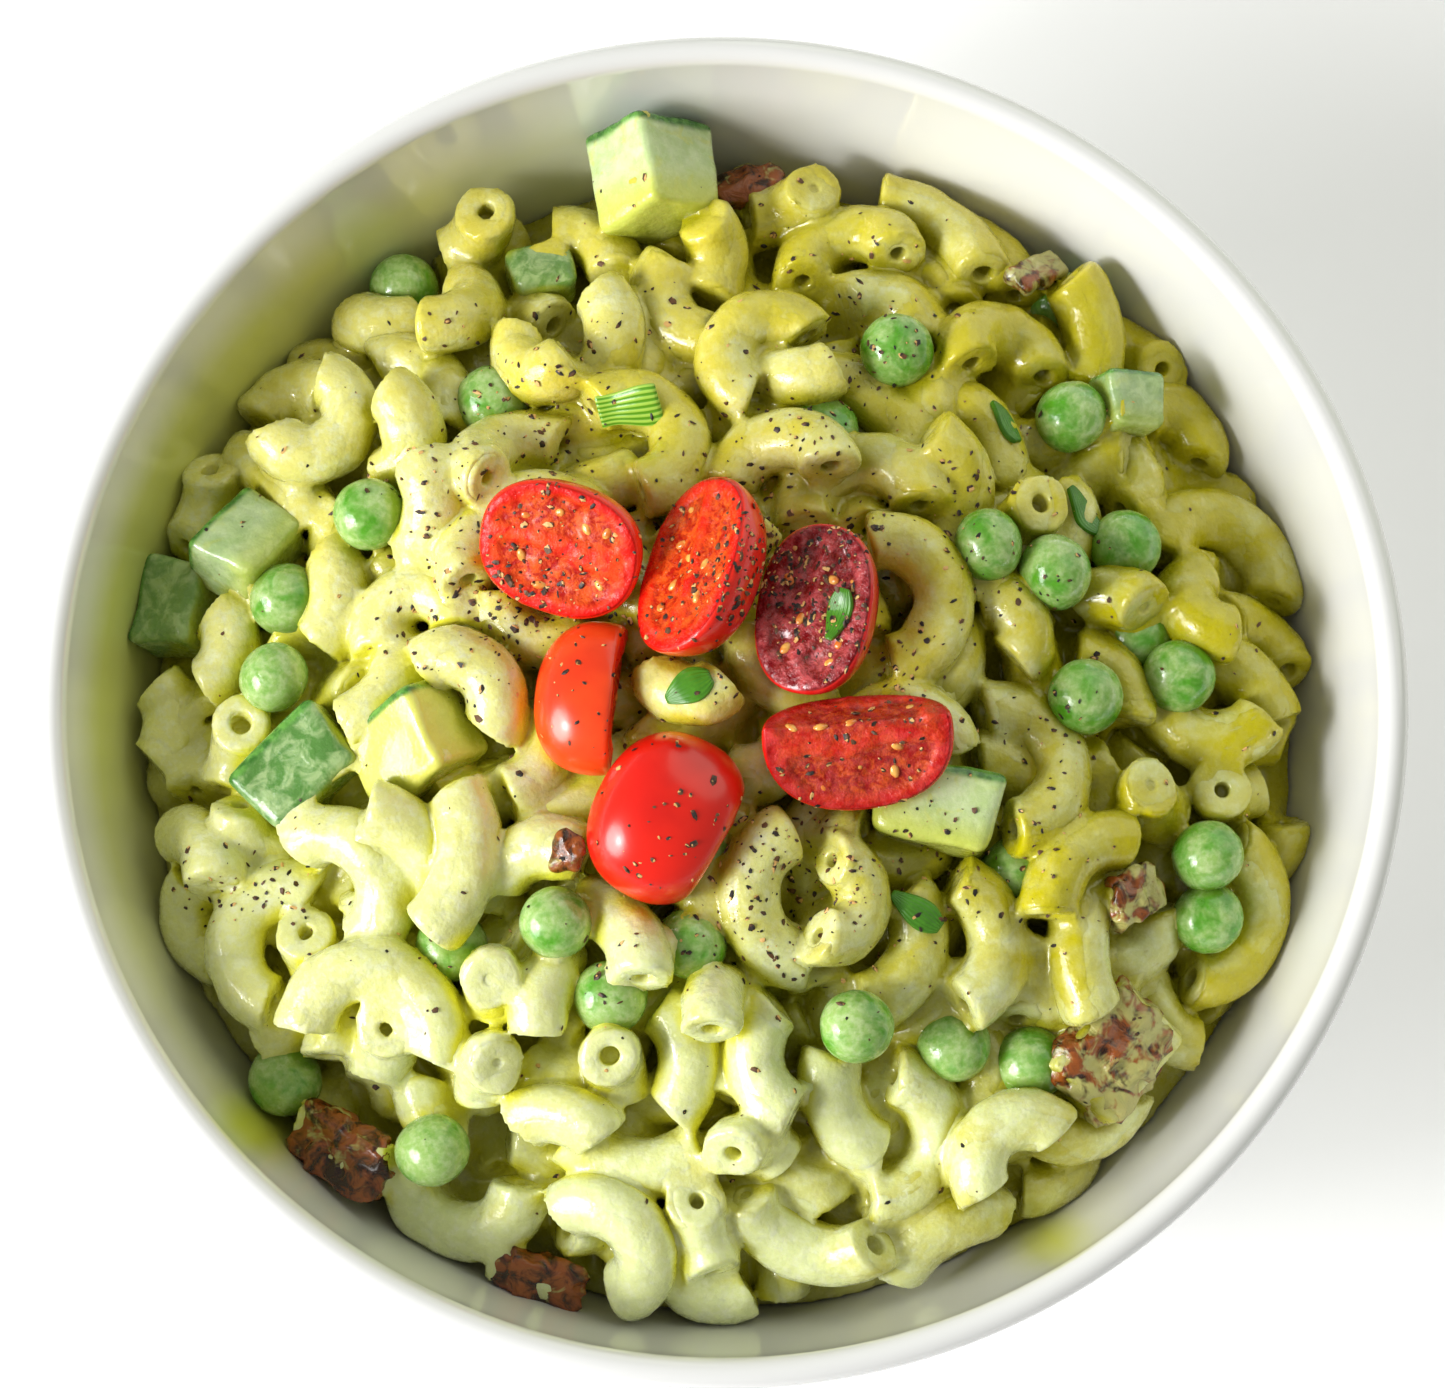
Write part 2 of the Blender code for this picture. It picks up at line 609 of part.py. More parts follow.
def top_of_heap(pieces, x, y):
    """Height of the highest piece over a place."""
    best = float(core_height(x, y))
    for piece in pieces:
        for ball in piece.world(piece.balls):
            aside = (ball[0] - x) ** 2 + (ball[1] - y) ** 2
            if aside < piece.radius**2:
                best = max(best, ball[2] + math.sqrt(piece.radius**2 - aside))
    return best


def leaf_mesh(name, pieces, place, length, width, face):
    """A thin wavy slice of scallion, both faces split into triangles alike."""
    x, y = plan_place(*place, 0)
    middle = np.array((x, y, top_of_heap(pieces, x, y)))
    turn = surface_turn(x, y) @ turn_about("Z", face)
    columns = LEAF_COLUMNS
    grid = []
    for side in (-0.5, 0.5):
        for i in range(columns + 1):
            for edge in (-0.5, 0.5):
                along = i / columns
                wave = LEAF_WAVE * math.sin(along * math.pi * 1.5)
                bow = 0.5 * width * edge * (1 + 0.15 * math.sin(along * 5))
                grid.append((length * (along - 0.5), 2 * bow, wave + side * SCALLION_THICKNESS))
    faces = []
    top = 2 * (columns + 1)
    for i in range(columns):
        a, b, c, d = 2 * i, 2 * i + 1, 2 * i + 2, 2 * i + 3
        faces += [(a, b, c), (b, d, c)]
        faces += [(top + a, top + c, top + b), (top + b, top + c, top + d)]
        faces += [(a, c, top + c, top + a), (b, top + b, top + d, d)]
    last = 2 * columns
    faces += [(0, top, top + 1, 1), (last, last + 1, top + last + 1, top + last)]
    return build_mesh(name, np.array(grid) @ turn.T + middle, faces)


def signed_volume(faces):
    """Volume inside a set of faces, below zero where they enclose a hollow."""
    total = 0.0
    for face in faces:
        first = face.verts[0].co
        for a, b in zip(face.verts[1:-1], face.verts[2:]):
            total += first.dot(a.co.cross(b.co)) / 6
    return total


def keep_main_body(thing):
    """Keep the largest closed body: sealed hollows are filled and scraps dropped."""
    bm = bmesh.new()
    bm.from_mesh(thing.data)
    bmesh.ops.triangulate(bm, faces=bm.faces)
    bmesh.ops.dissolve_degenerate(bm, dist=SLIVER, edges=bm.edges)
    bmesh.ops.triangulate(bm, faces=bm.faces)
    left = set(bm.faces)
    bodies = []
    while left:
        body = [left.pop()]
        for face in body:
            for edge in face.edges:
                near = edge.link_faces if len(edge.link_faces) == 2 else ()
                found = [other for other in near if other in left]
                left.difference_update(found)
                body.extend(found)
        bodies.append(body)
    bodies.sort(key=signed_volume)
    scraps = [face for body in bodies[:-1] for face in body]
    bmesh.ops.delete(bm, geom=scraps, context="FACES")
    bm.to_mesh(thing.data)
    bm.free()


def apply_boolean(thing, operation, other):
    """Apply one Boolean with an object or a collection."""
    cut = thing.modifiers.new("join", "BOOLEAN")
    cut.operation = operation
    cut.solver = "MANIFOLD"
    if isinstance(other, bpy.types.Collection):
        cut.operand_type = "COLLECTION"
        cut.collection = other
    else:
        cut.object = other
    graph = bpy.context.evaluated_depsgraph_get()
    mesh = bpy.data.meshes.new_from_object(thing.evaluated_get(graph))
    thing.modifiers.clear()
    thing.data = mesh


def cut_side(thing, reach):
    """Cut a closed solid off where Y passes a distance, and close the cut."""
    bm = bmesh.new()
    bm.from_mesh(thing.data)
    bmesh.ops.bisect_plane(bm, geom=bm.verts[:] + bm.edges[:] + bm.faces[:], dist=SLIVER,
                           plane_co=(0, reach, 0), plane_no=(0, 1, 0), clear_outer=True)
    bmesh.ops.holes_fill(bm, edges=bm.edges, sides=0)
    bmesh.ops.dissolve_degenerate(bm, dist=SLIVER, edges=bm.edges)
    bm.to_mesh(thing.data)
    bm.free()


def tomato_solid(name, tomato, profile, room=0.0):
    """A blunt round solid in a tomato's place, cut like it, with some room on every side."""
    place, turn, axes, cut = tomato
    solid = turned(name, profile, TOMATO_SIDES)
    for vertex in solid.data.vertices:
        unit = np.array(vertex.co) / MM
        vertex.co = Vector(blunted(unit) * (axes + room)) * MM
    if cut < axes[1]:
        cut_side(solid, (cut + room) * MM)
    for vertex in solid.data.vertices:
        vertex.co = Vector(np.array(vertex.co) @ turn.T + place * MM)
    return solid


def round_profile(rows):
    """The profile of a ball, from the bottom up by rows of one quarter turn each."""
    step = math.pi / 2 / TOMATO_ROWS
    profile = [(0.0, -1.0)]
    profile += [(math.sin(step * i), -math.cos(step * i)) for i in range(1, rows)]
    return profile


def build_tomatoes(tomatoes):
    """Each cut tomato as its own solid: a blunt domed skin closed by one or two flat cuts."""
    profile = round_profile(TOMATO_ROWS) + [(1.0, 0.0), (0.0, 0.0)]
    return [tomato_solid(f"tomato_{number}", tomato, profile)
            for number, tomato in enumerate(tomatoes, start=1)]


def build_heap(pieces, tomatoes):
    """The salad: core, macaroni, peas, cubes and dried tomato joined into one solid."""
    heap = build_core()
    parts = bpy.data.collections.new("heap_pieces")
    bpy.context.scene.collection.children.link(parts)
    solids = [piece_mesh(piece, index) for index, piece in enumerate(pieces)]
    for index, (x, y, length, width, face) in enumerate(SCALLIONS):
        solids.append(leaf_mesh(f"scallion_{index}", pieces, (x, y), length, width, face))
    for solid in solids:
        bpy.context.collection.objects.unlink(solid)
        parts.objects.link(solid)
    apply_boolean(heap, "UNION", parts)
    for solid in solids:
        bpy.data.objects.remove(solid)
    bpy.data.collections.remove(parts)
    keep_main_body(heap)
    space = build_inner_space()
    apply_boolean(heap, "INTERSECT", space)
    bpy.data.objects.remove(space)
    profile = round_profile(2 * TOMATO_ROWS) + [(0.0, 1.0)]
    for tomato in tomatoes:
        pocket = tomato_solid("pocket", tomato, profile, POCKET_ROOM)
        apply_boolean(heap, "DIFFERENCE", pocket)
        bpy.data.objects.remove(pocket)
    keep_main_body(heap)
    return heap


def make_material(name, colour, roughness):
    """A plain material."""
    material = bpy.data.materials.new(name)
    material.use_nodes = True
    shader = material.node_tree.nodes["Principled BSDF"]
    shader.inputs["Base Color"].default_value = (*colour, 1.0)
    shader.inputs["Roughness"].default_value = roughness
    shader.inputs["Metallic"].default_value = 0.0
    return material


def main():
    for thing in list(bpy.data.objects):
        bpy.data.objects.remove(thing)
    bowl = build_bowl()
    bowl.data.materials.append(make_material("white_glaze", (0.9, 0.9, 0.89), 0.15))
    bowl.data.shade_smooth()
    bowl.data.set_sharp_from_angle(angle=math.radians(35))
    tomatoes = tomato_places()
    pieces = elbow_pieces() + upright_pieces() + small_pieces()
    pieces += gap_pieces(pieces)
    settle(pieces, tomatoes)
    heap = build_heap(pieces, tomatoes)
    heap.data.materials.append(make_material("dressed_pasta", (0.72, 0.76, 0.32), 0.4))
    skin = make_material("tomato_skin", (0.8, 0.07, 0.03), 0.2)
    for half in build_tomatoes(tomatoes):
        half.data.materials.append(skin)


main()
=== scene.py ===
"""Pasta salad in a plain white bowl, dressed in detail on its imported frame.

The heap is rebuilt piece by piece: macaroni with open ends, a creamy dressing that fills the
gaps between the pieces, peas, cucumber cubes, browned dried tomato, scallion, halved cherry
tomatoes with seeds, and ground pepper. Lengths are in millimetres until a mesh is made.
"""

import functools
import json
import math
import random

import bmesh
import bpy
import numpy as np
from bpy.props import FloatProperty, FloatVectorProperty, IntProperty, PointerProperty
from mathutils import Matrix, Vector

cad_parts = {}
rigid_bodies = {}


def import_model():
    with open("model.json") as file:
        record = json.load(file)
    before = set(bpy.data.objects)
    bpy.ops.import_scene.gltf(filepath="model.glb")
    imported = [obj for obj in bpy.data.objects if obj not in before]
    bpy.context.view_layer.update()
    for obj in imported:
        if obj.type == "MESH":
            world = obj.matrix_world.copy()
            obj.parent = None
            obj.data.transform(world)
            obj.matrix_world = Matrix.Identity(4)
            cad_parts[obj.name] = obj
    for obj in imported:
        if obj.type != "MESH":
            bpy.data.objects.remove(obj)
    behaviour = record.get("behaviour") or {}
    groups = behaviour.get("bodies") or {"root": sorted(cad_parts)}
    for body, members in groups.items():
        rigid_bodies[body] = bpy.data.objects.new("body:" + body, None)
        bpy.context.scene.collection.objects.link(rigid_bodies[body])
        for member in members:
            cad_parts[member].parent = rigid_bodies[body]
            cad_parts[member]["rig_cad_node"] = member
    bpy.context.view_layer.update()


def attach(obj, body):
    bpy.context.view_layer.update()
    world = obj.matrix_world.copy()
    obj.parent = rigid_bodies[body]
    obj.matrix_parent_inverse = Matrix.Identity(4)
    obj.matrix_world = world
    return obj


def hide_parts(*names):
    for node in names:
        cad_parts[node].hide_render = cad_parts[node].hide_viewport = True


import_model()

bl_info = {
    "name": "Pasta Salad Bowl",
    "version": (1, 0, 0),
    "blender": (4, 5, 0),
    "location": "3D View > Sidebar > Salad",
    "description": "Builds a bowl of dressed macaroni salad, one group of pieces at a time",
    "category": "Object",
}

MM = 0.001
GAP = 0.3

# Bowl: one turned wall on a foot ring
RIM_RADIUS = 80.0
BOWL_HEIGHT = 62.0
LIP_RADIUS = 1.8
FOOT_OUTER = 37.5
FOOT_INNER = 33.5
FOOT_DEPTH = 2.5
SHOULDER_RADIUS = 39.5
SHOULDER_HEIGHT = 4.0
FLOOR_RADIUS = 36.0
FLOOR_HEIGHT = 7.0
WALL_TURN = math.radians(68)

# Heap: how high the salad stands, and how its pieces are seen from above
FOOD_LINE = 47.5
FOOD_RADIUS = 72.5
MOUND_RISE = 21.0
HEAP_LEAN = 2.5 / 70
HOLLOW_WAVE = 0.3
HOLLOW_DEPTH = 0.9
CORE_DEPTH = 7.5
SIGHT_TILT = math.radians(10)
SIGHT_RANGE = 560.0

# Ingredients: their sizes, how closely they touch, and the short elbows that fill the gaps
ELBOW_RADIUS = 3.45
PEA_RADIUS = 4.3
SCALLION_THICKNESS = 0.7
TOUCH = 0.88
GAP_SPACING = 5.0
GAP_CLEAR = 7.5
WALL_MARGIN = 0.6
BLUNTNESS = 2.3
UPRIGHT_SHAPE = (90, 7.0)
BALL_STEP = 2.4
TUBE_DRAWN = 1.05
GAP_BEND = 6.0
GAP_DEPTH = 2.5
CUBE_BALL = 0.42
DRIED_THICKNESS = 0.55
CUT_SUNK = 1.0

# Settling: how the pieces are eased off each other and off what holds them
SETTLE_ROUNDS = 70
PULL_BACK = 0.08
TURN_LIMIT = 0.08
TURN_DRAG = 4.0
TOMATO_ROOM = 0.6
CORE_CLEAR = 0.2

# Seeds of the random draws: how the top macaroni lies, what fills the gaps, the lower macaroni,
# which ends are shut, the macaroni's shapes and the peas', and the first seeds of the noise that
# shapes the cucumber, the dried tomato, the scallion and the tomatoes
LIE_SEED = 11
GAP_SEED = 23
UNDER_SEED = 5
SHUT_SEED = 3
SHAPE_SEED = 41
PEA_SEED = 9
CUCUMBER_NOISE = 20
DRIED_NOISE = 50
LEAF_NOISE = 70
TOMATO_NOISE = 80

# Lower macaroni: spacing, lowest and highest lift of each layer, the rounds that ease it in, and
# the ways that one looks for it
UNDER_LAYERS = ((7.6, -4.4, -2.6), (8.8, -8.6, -6.4))
TUCK_ROUNDS = 24
LOOKS = ((0.0, 0.0), (0.6, 0.0), (-0.6, 0.0), (0.0, 0.6), (0.0, -0.6))

# Elbows: x and y of the middle of the bend as seen from above, the way its open side faces,
# its sweep, its bend radius, how far its ends dip, its roll, and its lift over the heap
ELBOWS = (
    (-30, 46, 185, 160, 5.5, 10, 0, 0),
    (-34, 39, 225, 140, 6, 0, 10, -3),
    (-40, 45, 100, 90, 6, 30, 20, -4),
    (-45, 30.5, 135, 230, 5, 5, 0, 0),
    (-52, 36, 300, 120, 6, 20, 0, -5),
    (-53, 27, 235, 75, 12, 5, 0, -1),
    (-36, 31, 205, 150, 5, 20, -20, -1),
    (-31, 21, 185, 120, 6, 15, 0, -1),
    (-45, 12, 190, 80, 9, 10, 0, -3),
    (-36, 14, 280, 200, 5, 5, 0, 0),
    (-28, 4, 200, 160, 5.5, 10, 0, 0),
    (-23.5, 38, 75, 150, 5, -10, 0, 0),
    (-12.5, 43, 170, 95, 8, 15, -15, -1),
    (-28.5, 30, 350, 170, 6.5, 5, 0, 0),
    (-6, 33, 205, 200, 6.5, 5, 0, 1),
    (-27, 22, 320, 170, 8, 5, 0, -2),
    (-24, 8, 60, 130, 6, -20, 0, -2),
    (2, 43, 340, 210, 5.5, 5, 0, 1),
    (8, 37, 20, 110, 6, 20, 0, -3),
    (22, 48, 270, 140, 6, 0, -10, -1),
    (15, 56, 275, 180, 6, 0, 0, 0),
    (26.5, 56.5, 225, 75, 14, -5, -40, 3),
    (25, 51, 220, 60, 12, 0, 0, -4),
    (32, 53, 235, 70, 11, 0, 0, -4),
    (44, 44, 220, 70, 12, 0, 0, 0),
    (51, 42, 200, 80, 7, 0, 10, -3),
    (32, 44, 280, 200, 5.5, 5, 0, 1),
    (18, 35, 215, 70, 13, 0, 0, -1),
    (54, 34, 180, 160, 5, 0, 0, -6),
    (49, 27, 190, 140, 5, 0, 0, -2),
    (31, 32, 200, 120, 7, 10, 0, -2),
    (16, 30, 285, 190, 7, 5, 0, 1),
    (28, 22, 190, 140, 9, 5, 0, -1),
    (26, 13, 185, 180, 7.5, 5, 0, 2),
    (7, 31, 250, 150, 7, 5, 0, 0),
    (35, 11, 190, 150, 4.5, 15, 0, 0),
    (41, 20, 160, 90, 6, 10, 0, -2),
    (46, 12, 250, 80, 7, 10, 0, 0),
    (61, 20, 215, 180, 8, 0, 0, -5),
    (54, 11, 10, 160, 5, 5, 0, 0),
    (62, 4, 240, 70, 10, 0, 0, 0),
    (65, 9, 180, 120, 6, 0, 0, -6),
    (46, 3, 200, 90, 7, 0, 0, -2),
    (-60, -19, 240, 80, 9, 0, 0, -1),
    (-40, -19, 215, 200, 6.5, 0, 0, 0),
    (-57, -26, 340, 190, 7, 0, 0, 1),
    (-47, -30, 0, 90, 6, -50, 0, -4),
    (-38.5, -31, 265, 190, 8, 0, 0, 1),
    (-35, -17, 210, 70, 12, 5, 0, 0),
    (-29, -19, 160, 80, 13, 0, 0, 1),
    (-22, -17, 270, 90, 8, 10, 0, 0),
    (-22, -6, 180, 90, 9, 10, 0, -1),
    (-61, -25, 30, 110, 6, 0, 0, -7),
    (-11, -27, 215, 75, 11, 10, 0, 0),
    (-31, -62, 95, 190, 7, 0, 0, 1),
    (-18, -48, 250, 90, 7, 10, 0, 0),
    (-10, -54, 80, 75, 13, 0, 0, -1),
    (-9, -61, 200, 200, 6, 0, 0, 1),
    (-4, -68, 100, 130, 6, 0, 0, -5),
    (-4, -41, 180, 100, 8, 0, 0, -2),
    (40, -7, 180, 190, 7.5, 0, 14, 2),
    (40, -18, 330, 90, 10, 5, 0, 1),
    (64, -27, 165, 160, 8.5, 0, 0, 1),
    (48, -30, 90, 140, 5, -30, 0, -4),
    (39, -29, 310, 75, 12, 0, 0, -2),
    (33, -28, 180, 130, 8, 0, 0, 1),
    (22, -30, 180, 120, 8, 0, 0, -2),
    (3, -24, 0, 150, 8, 5, 0, 0),
    (16, -24, 170, 200, 4.5, -10, 15, 1),
    (25, -51, 175, 170, 7.5, 0, 0, 1),
    (31, -49.5, 300, 170, 5.5, 0, 0, 1),
    (25, -61, 15, 110, 8, 0, 0, 0),
    (9, -62, 110, 130, 9, -10, -25, 1),
    (13, -48, 10, 90, 9, 0, 0, -3),
    (3, -42, 10, 110, 8, 0, 0, -1),
    (42, -50, 120, 130, 6, 0, 0, -5),
    (38, -33, 60, 120, 6, 0, 0, -5),
    (-6, 1, 90, 120, 5, 10, 0, 1),
    (-14, 54, 250, 90, 8, 10, 0, -2),
    (-6, 46, 20, 120, 7, 5, 0, -3),
)

# Elbows standing with an open end up: x, y of that end, way it leans, lean and lift
UPRIGHT = (
    (-29.3, 56, 180, 10, 0),
    (-1.6, 53.4, 210, 20, 0),
    (8.2, 58.7, 160, 25, 0),
    (-61.6, 23.8, 200, 10, -6),
    (-64.6, -3.3, 180, 10, -7),
    (-56.2, -5, 250, 20, -2),
    (34.5, 19, 240, 30, 0),
    (-26.7, -32, 270, 15, 2),
    (-27.8, -41.3, 300, 15, 1),
    (-39, -40, 250, 30, 0),
    (-12.8, -41.3, 280, 15, 0),
    (-20.5, -36, 270, 60, -1),
    (3, -50.1, 270, 20, 0),
    (-2.7, -59.9, 290, 15, 0),
    (-0.9, -35.8, 275, 35, 1),
    (50.5, -12, 0, 30, 0),
    (60, -10.5, 20, 40, -2),
)

# Peas: x, y and lift
PEAS = (
    (-42, 51, 0), (-29, 35, -3), (-30, 28, -3), (-41, 21.5, 1), (-51, 12, -2), (-53, 2, 1),
    (21, 41, 1), (45, 46, -4), (42, 34, 0), (13, 31, -3), (31.5, 17, 0), (38, 14, 1),
    (47, 18, 1), (48, 6.5, -1), (53, 4, 0), (42, 0, 0), (-18, -26, 0), (-34, -27.5, -2),
    (-10, -34.5, 1), (-4, -30, 0), (-34, -52, 1), (-52, -45, -2), (57, -18, 2), (54.5, -25, 0),
    (16, -37, 2), (26, -40, -2), (36, -42, -2), (34, -21, -2), (1, -19, 0),
)

# Cucumber: x, y, three edge lengths, turn, tilt, roll and lift
CUCUMBER = (
    (-8.3, 63.3, (11.3, 12.5, 11.3), 8, 22, 43, 7),
    (-36, -5.5, (13, 11, 9), 22, 12, -24, 1),
    (-49.5, -8, (13, 10, 8), 40, 12, 8, 0),
    (-55.5, 18, (11, 10, 8.5), 62, 20, 24, 0),
    (-64.8, 11.5, (10.5, 9, 8), 38, 15, 12, -3),
    (24.5, -11.5, (13.5, 9.5, 9), -16, 30, 0, 0),
    (48, 35, (7.5, 7, 7), 5, 10, 10, 2),
    (-21.5, 51, (8, 7, 6), 20, 10, 0, -4),
)

# Browned dried tomato: x, y, length, width, turn and lift
DRIED = (
    (44.5, -40.5, 15, 12, 60, 0),
    (-44, -52, 14, 8, -15, 0),
    (47.5, -23, 8, 6, 30, 1),
    (37, 50, 9, 4, 30, 0),
    (3, 61, 9, 5, 10, -2),
    (-17.5, -18, 5, 4, 50, 1),
    (-22, -66, 12, 6, -20, -3),
)

# Cut cherry tomatoes: x, y, half length, half width, depth, turn, tilt, roll, lift, and how far
# a second cut lies from the middle
TOMATOES = (
    (-19.3, 16.9, 9.8, 8.0, 7.6, -18, -8, 30, 4.2, 9.0),
    (-3.9, 15.5, 10.9, 8.0, 8.2, 74, 4, -48, 5.6, 9.0),
    (10.5, 10.2, 10.0, 7.2, 7.8, 80, -4, -22, 3.9, 9.0),
    (-14.5, 0.4, 9.2, 7.5, 6.6, 84, 3, 172, 1.8, 2.6),
    (-6.7, -13.1, 10.1, 8.5, 8.2, 62, 0, 190, 5.8, 6.6),
    (15.7, -5.0, 11.0, 9.3, 7.6, 4, -3, 34, 5.2, 2.2),
)

# Scallion slices: x, y, length, width and turn
SCALLIONS = (
    (-11, 34, 7.6, 4.6, 12),
    (22.5, -24.6, 7, 3.5, -35),
    (-4, 0.5, 6, 4, 25),
    (33.4, 32.6, 6, 2.6, -62),
    (42.5, 22, 6.5, 3.2, -50),
)

# One more slice, lying on a cut tomato
TOMATO_LEAF = (13.4, 9.5, 6.2, 3.0, -8)
TOMATO_LEAF_LIFT = 6.0
LEAF_CLEAR = 0.4

# Tints of single pieces, from 0 to 1: how green each cucumber piece is, or below 0 how yellow,
# then for each tomato how orange its skin, how dark its flesh and how wet its cut is
CUCUMBER_GREEN = (0.1, -0.9, 1.0, 0.45, 0.85, 0.2, 0.6, 0.9)
TOMATO_ORANGE = (0.25, 0.10, 0.0, 0.80, 0.05, 0.0)
TOMATO_DARK = (0.0, 0.0, 0.9, 0.0, 0.0, 0.35)
TOMATO_WET = (0.0, 0.6, 1.0, 0.0, 0.0, 0.3)

# Macaroni: how deep a hole goes, the share of ends that are pressed shut, how deep and how narrow
# those are, how far from an end its rings start, how many sides the upper and the lower macaroni
# have and how far apart their rings are
HOLE_DEPTH = 2.6
CLOSED_SHARE = 0.3
SHUT_DEPTH = 0.35
SHUT_BORE = 0.5
END_RUN = 1.1
TOP_SIDES = 20
LOW_SIDES = 12
RING_STEP = {TOP_SIDES: 1.1, LOW_SIDES: 1.8}

# Dressing: how much lower it lies on the small pieces, how deep its core lies, how far it sinks,
# how much of its relief and its pools it shows, its gap to the tomatoes, the rounding of blocks
# under it, the box that it lies in and how far out each piece is felt, the x from which dried
# pieces are smeared, the relief as height, length and seed, the size of the block of random
# values, and the most triangles in one piece
BARE_STEP = 0.5
CORE_DROP = 4.5
DRESSING_SUNK = 0.14
COAT_SHARE = 0.9
POOL_SHARE = 0.62
TOMATO_GAP = 0.2
BLOCK_CORNER = {"cucumber": 0.8, "dried": 1.0}
FIELD_BOX = ((-74.0, -74.0, 33.0), (74.0, 74.0, 80.0))
FIELD_REACH = 5.0
SMEARED_FROM = 30.0
COAT_LAYERS = ((0.24, 3.4, 1), (0.12, 1.5, 2), (0.04, 0.7, 3))
LATTICE = 32
MOST_TRIANGLES = 190000

# Core: how many sides it and the bowl have, its room inside the wall and its top
BOWL_SIDES = 192
CORE_SIDES = 96
CORE_ROOM = (0.8, 0.6)
CORE_TOP = 36.0

# Cut tomatoes: grid step and rounding of the cut edge, how far below the face pulp sinks, then the
# pips' half sizes, depth, spacing and number, and the tries to place them
TOMATO_STEP = 0.36
TOMATO_BLEND = 0.25
PULP_SINK = 0.45
PIP_SIZE = (0.9, 0.55, 0.36)
PIP_DEPTH = 0.62
PIP_SPACING = 2.6
PIP_COUNT = 8
PIP_TRIES = 220

# How creamy and how warm the dressing is over the heap, the creamy share also painted light that
# makes the lit left and front paler: at the middle, its change to the right and to the back, and
# how much, over what length and with which seed it wanders; then how much warmer the middle is and
# how widely
CREAM_AND_LIGHT_DRIFT = (0.46, -0.45, -0.30, 0.30, 11.0, 31)
WARM_DRIFT = (0.22, -0.40, 0.50, 0.30, 15.0, 32)
WARM_MIDDLE = 0.35
WARM_SPREAD = 0.2

# Shade in the creases: how far out two looks are taken, and how deep the heap goes dark
NEAR_LOOK = 1.3
FAR_LOOK = 3.4
DARK_DEPTH = 12.0

# Dressing on the bowl's wall, with painted shade of light bounced off the salad: the film's share
# all round and the painted shade's share on the shaded left, how far both reach up, and x and y of
# two smears
FILM_ROUND = 0.03
PAINTED_LEFT_SHADE = 0.75
FILM_REACH = 11.0
SMEARS = ((-54, -49), (38, -62))

# Pepper: x and y as seen at rim height, spread and weight of each cluster, then the sheet that it
# drops from and how far its fall leans
PEPPER_SPOTS = (
    (-20, 26, 10, 1.1), (-19, 18, 8, 2.0), (-3, 16, 8, 2.6), (10, 11, 8, 4.0), (19, 29, 11, 1.3),
    (2, 41, 14, 0.45), (30, 12, 10, 0.6), (-27, 8, 10, 0.7), (-12, -27, 8, 1.1),
    (9, -23, 9, 1.2), (28, -20, 11, 0.45), (-52, -24, 8, 0.8), (-30, 34, 14, 0.3),
    (-9, -9, 8, 0.2), (18, -6, 8, 0.6), (34, -2, 8, 0.5),
)
DUSTING = 0.035
DUSTED_RADIUS = 66.0
DROP_STEP = 2.0
DROP_COUNT = 68
DROP_HEIGHT = 150.0
DROP_SHIFT = 17.0
DROP_SEEN = 15.0
DROP_LEAN = 0.17
DROP_REACH = 0.3

# One flake: its least and greatest lengths as shares of the largest flake's, the grades that they
# are sieved to, its greatest tilt, and how far its corners stray
FLAKE_LEAST = (0.16, 0.14, 0.08)
FLAKE_MOST = (0.62, 0.46, 0.26)
FLAKE_GRADES = (0.2, 1.25)
FLAKE_TILT = 0.35
FLAKE_JAG = 0.38

# Colours inside the finishes, as red, green and blue; a pair runs from one to the other
# Dressing film on the wall, also used as painted shade of light bounced off the salad
FILM_AND_PAINTED_SHADE_TINT = (0.66, 0.68, 0.09)
WARM_TINT = (0.83, 0.71, 0.10)
# Pale cream of the dressing streaks, which also serve as painted highlights
CREAM_AND_HIGHLIGHT_TINT = (0.84, 0.87, 0.62)
# Painted shade in the creases where the dressing is creamy on the lit side
LIT_SIDE_CREASE_SHADE = (0.76, 0.73, 0.03)
PEA_COAT = ((0.32, 0.52, 0.13), (0.60, 0.72, 0.38))
# Painted shade in the peas' creases
PEA_CREASE_SHADE = (0.14, 0.26, 0.005)
CUCUMBER_PALE = (0.74, 0.84, 0.50)
CUCUMBER_CORE = (0.66, 0.70, 0.12)
CUCUMBER_SEED = (0.72, 0.74, 0.16)
CUCUMBER_DEEP = ((0.10, 0.25, 0.05), (0.36, 0.50, 0.22))
CUCUMBER_YELLOW = (0.72, 0.70, 0.14)
CUCUMBER_RIND = ((0.04, 0.16, 0.02), (0.14, 0.36, 0.06))
# Painted shade in the cucumber's creases
CUCUMBER_CREASE_SHADE = (0.36, 0.40, 0.02)
DRIED_SMEAR = (0.52, 0.50, 0.16)
LEAF_STRIPES = ((0.09, 0.30, 0.012), (0.36, 0.62, 0.08))
LEAF_DARK = ((0.03, 0.14, 0.006), (0.10, 0.34, 0.02))
SKIN_ORANGE = (0.92, 0.085, 0.01)
SKIN_DEEP = (0.60, 0.004, 0.003)
FLESH = ((0.72, 0.010, 0.003), (0.88, 0.075, 0.012))
FLESH_EDGE = (0.66, 0.006, 0.003)
JELLY = ((0.42, 0.005, 0.002), (0.82, 0.11, 0.012))
CRIMSON = ((0.10, 0.003, 0.008), (0.46, 0.09, 0.10))
PIP_TINTS = ((0.70, 0.16, 0.02), (0.88, 0.46, 0.10))
PEPPER_HUSK = ((0.014, 0.010, 0.008), (0.13, 0.055, 0.02))
PEPPER_PALE = (0.72, 0.42, 0.14)
FLOOR_TINTS = ((0.80, 0.80, 0.80), (0.82, 0.82, 0.82))
FLOOR_GLOW = 0.25
WORLD_TINT = (1.0, 1.0, 0.95, 1.0)
WORLD_LIGHT = 0.29

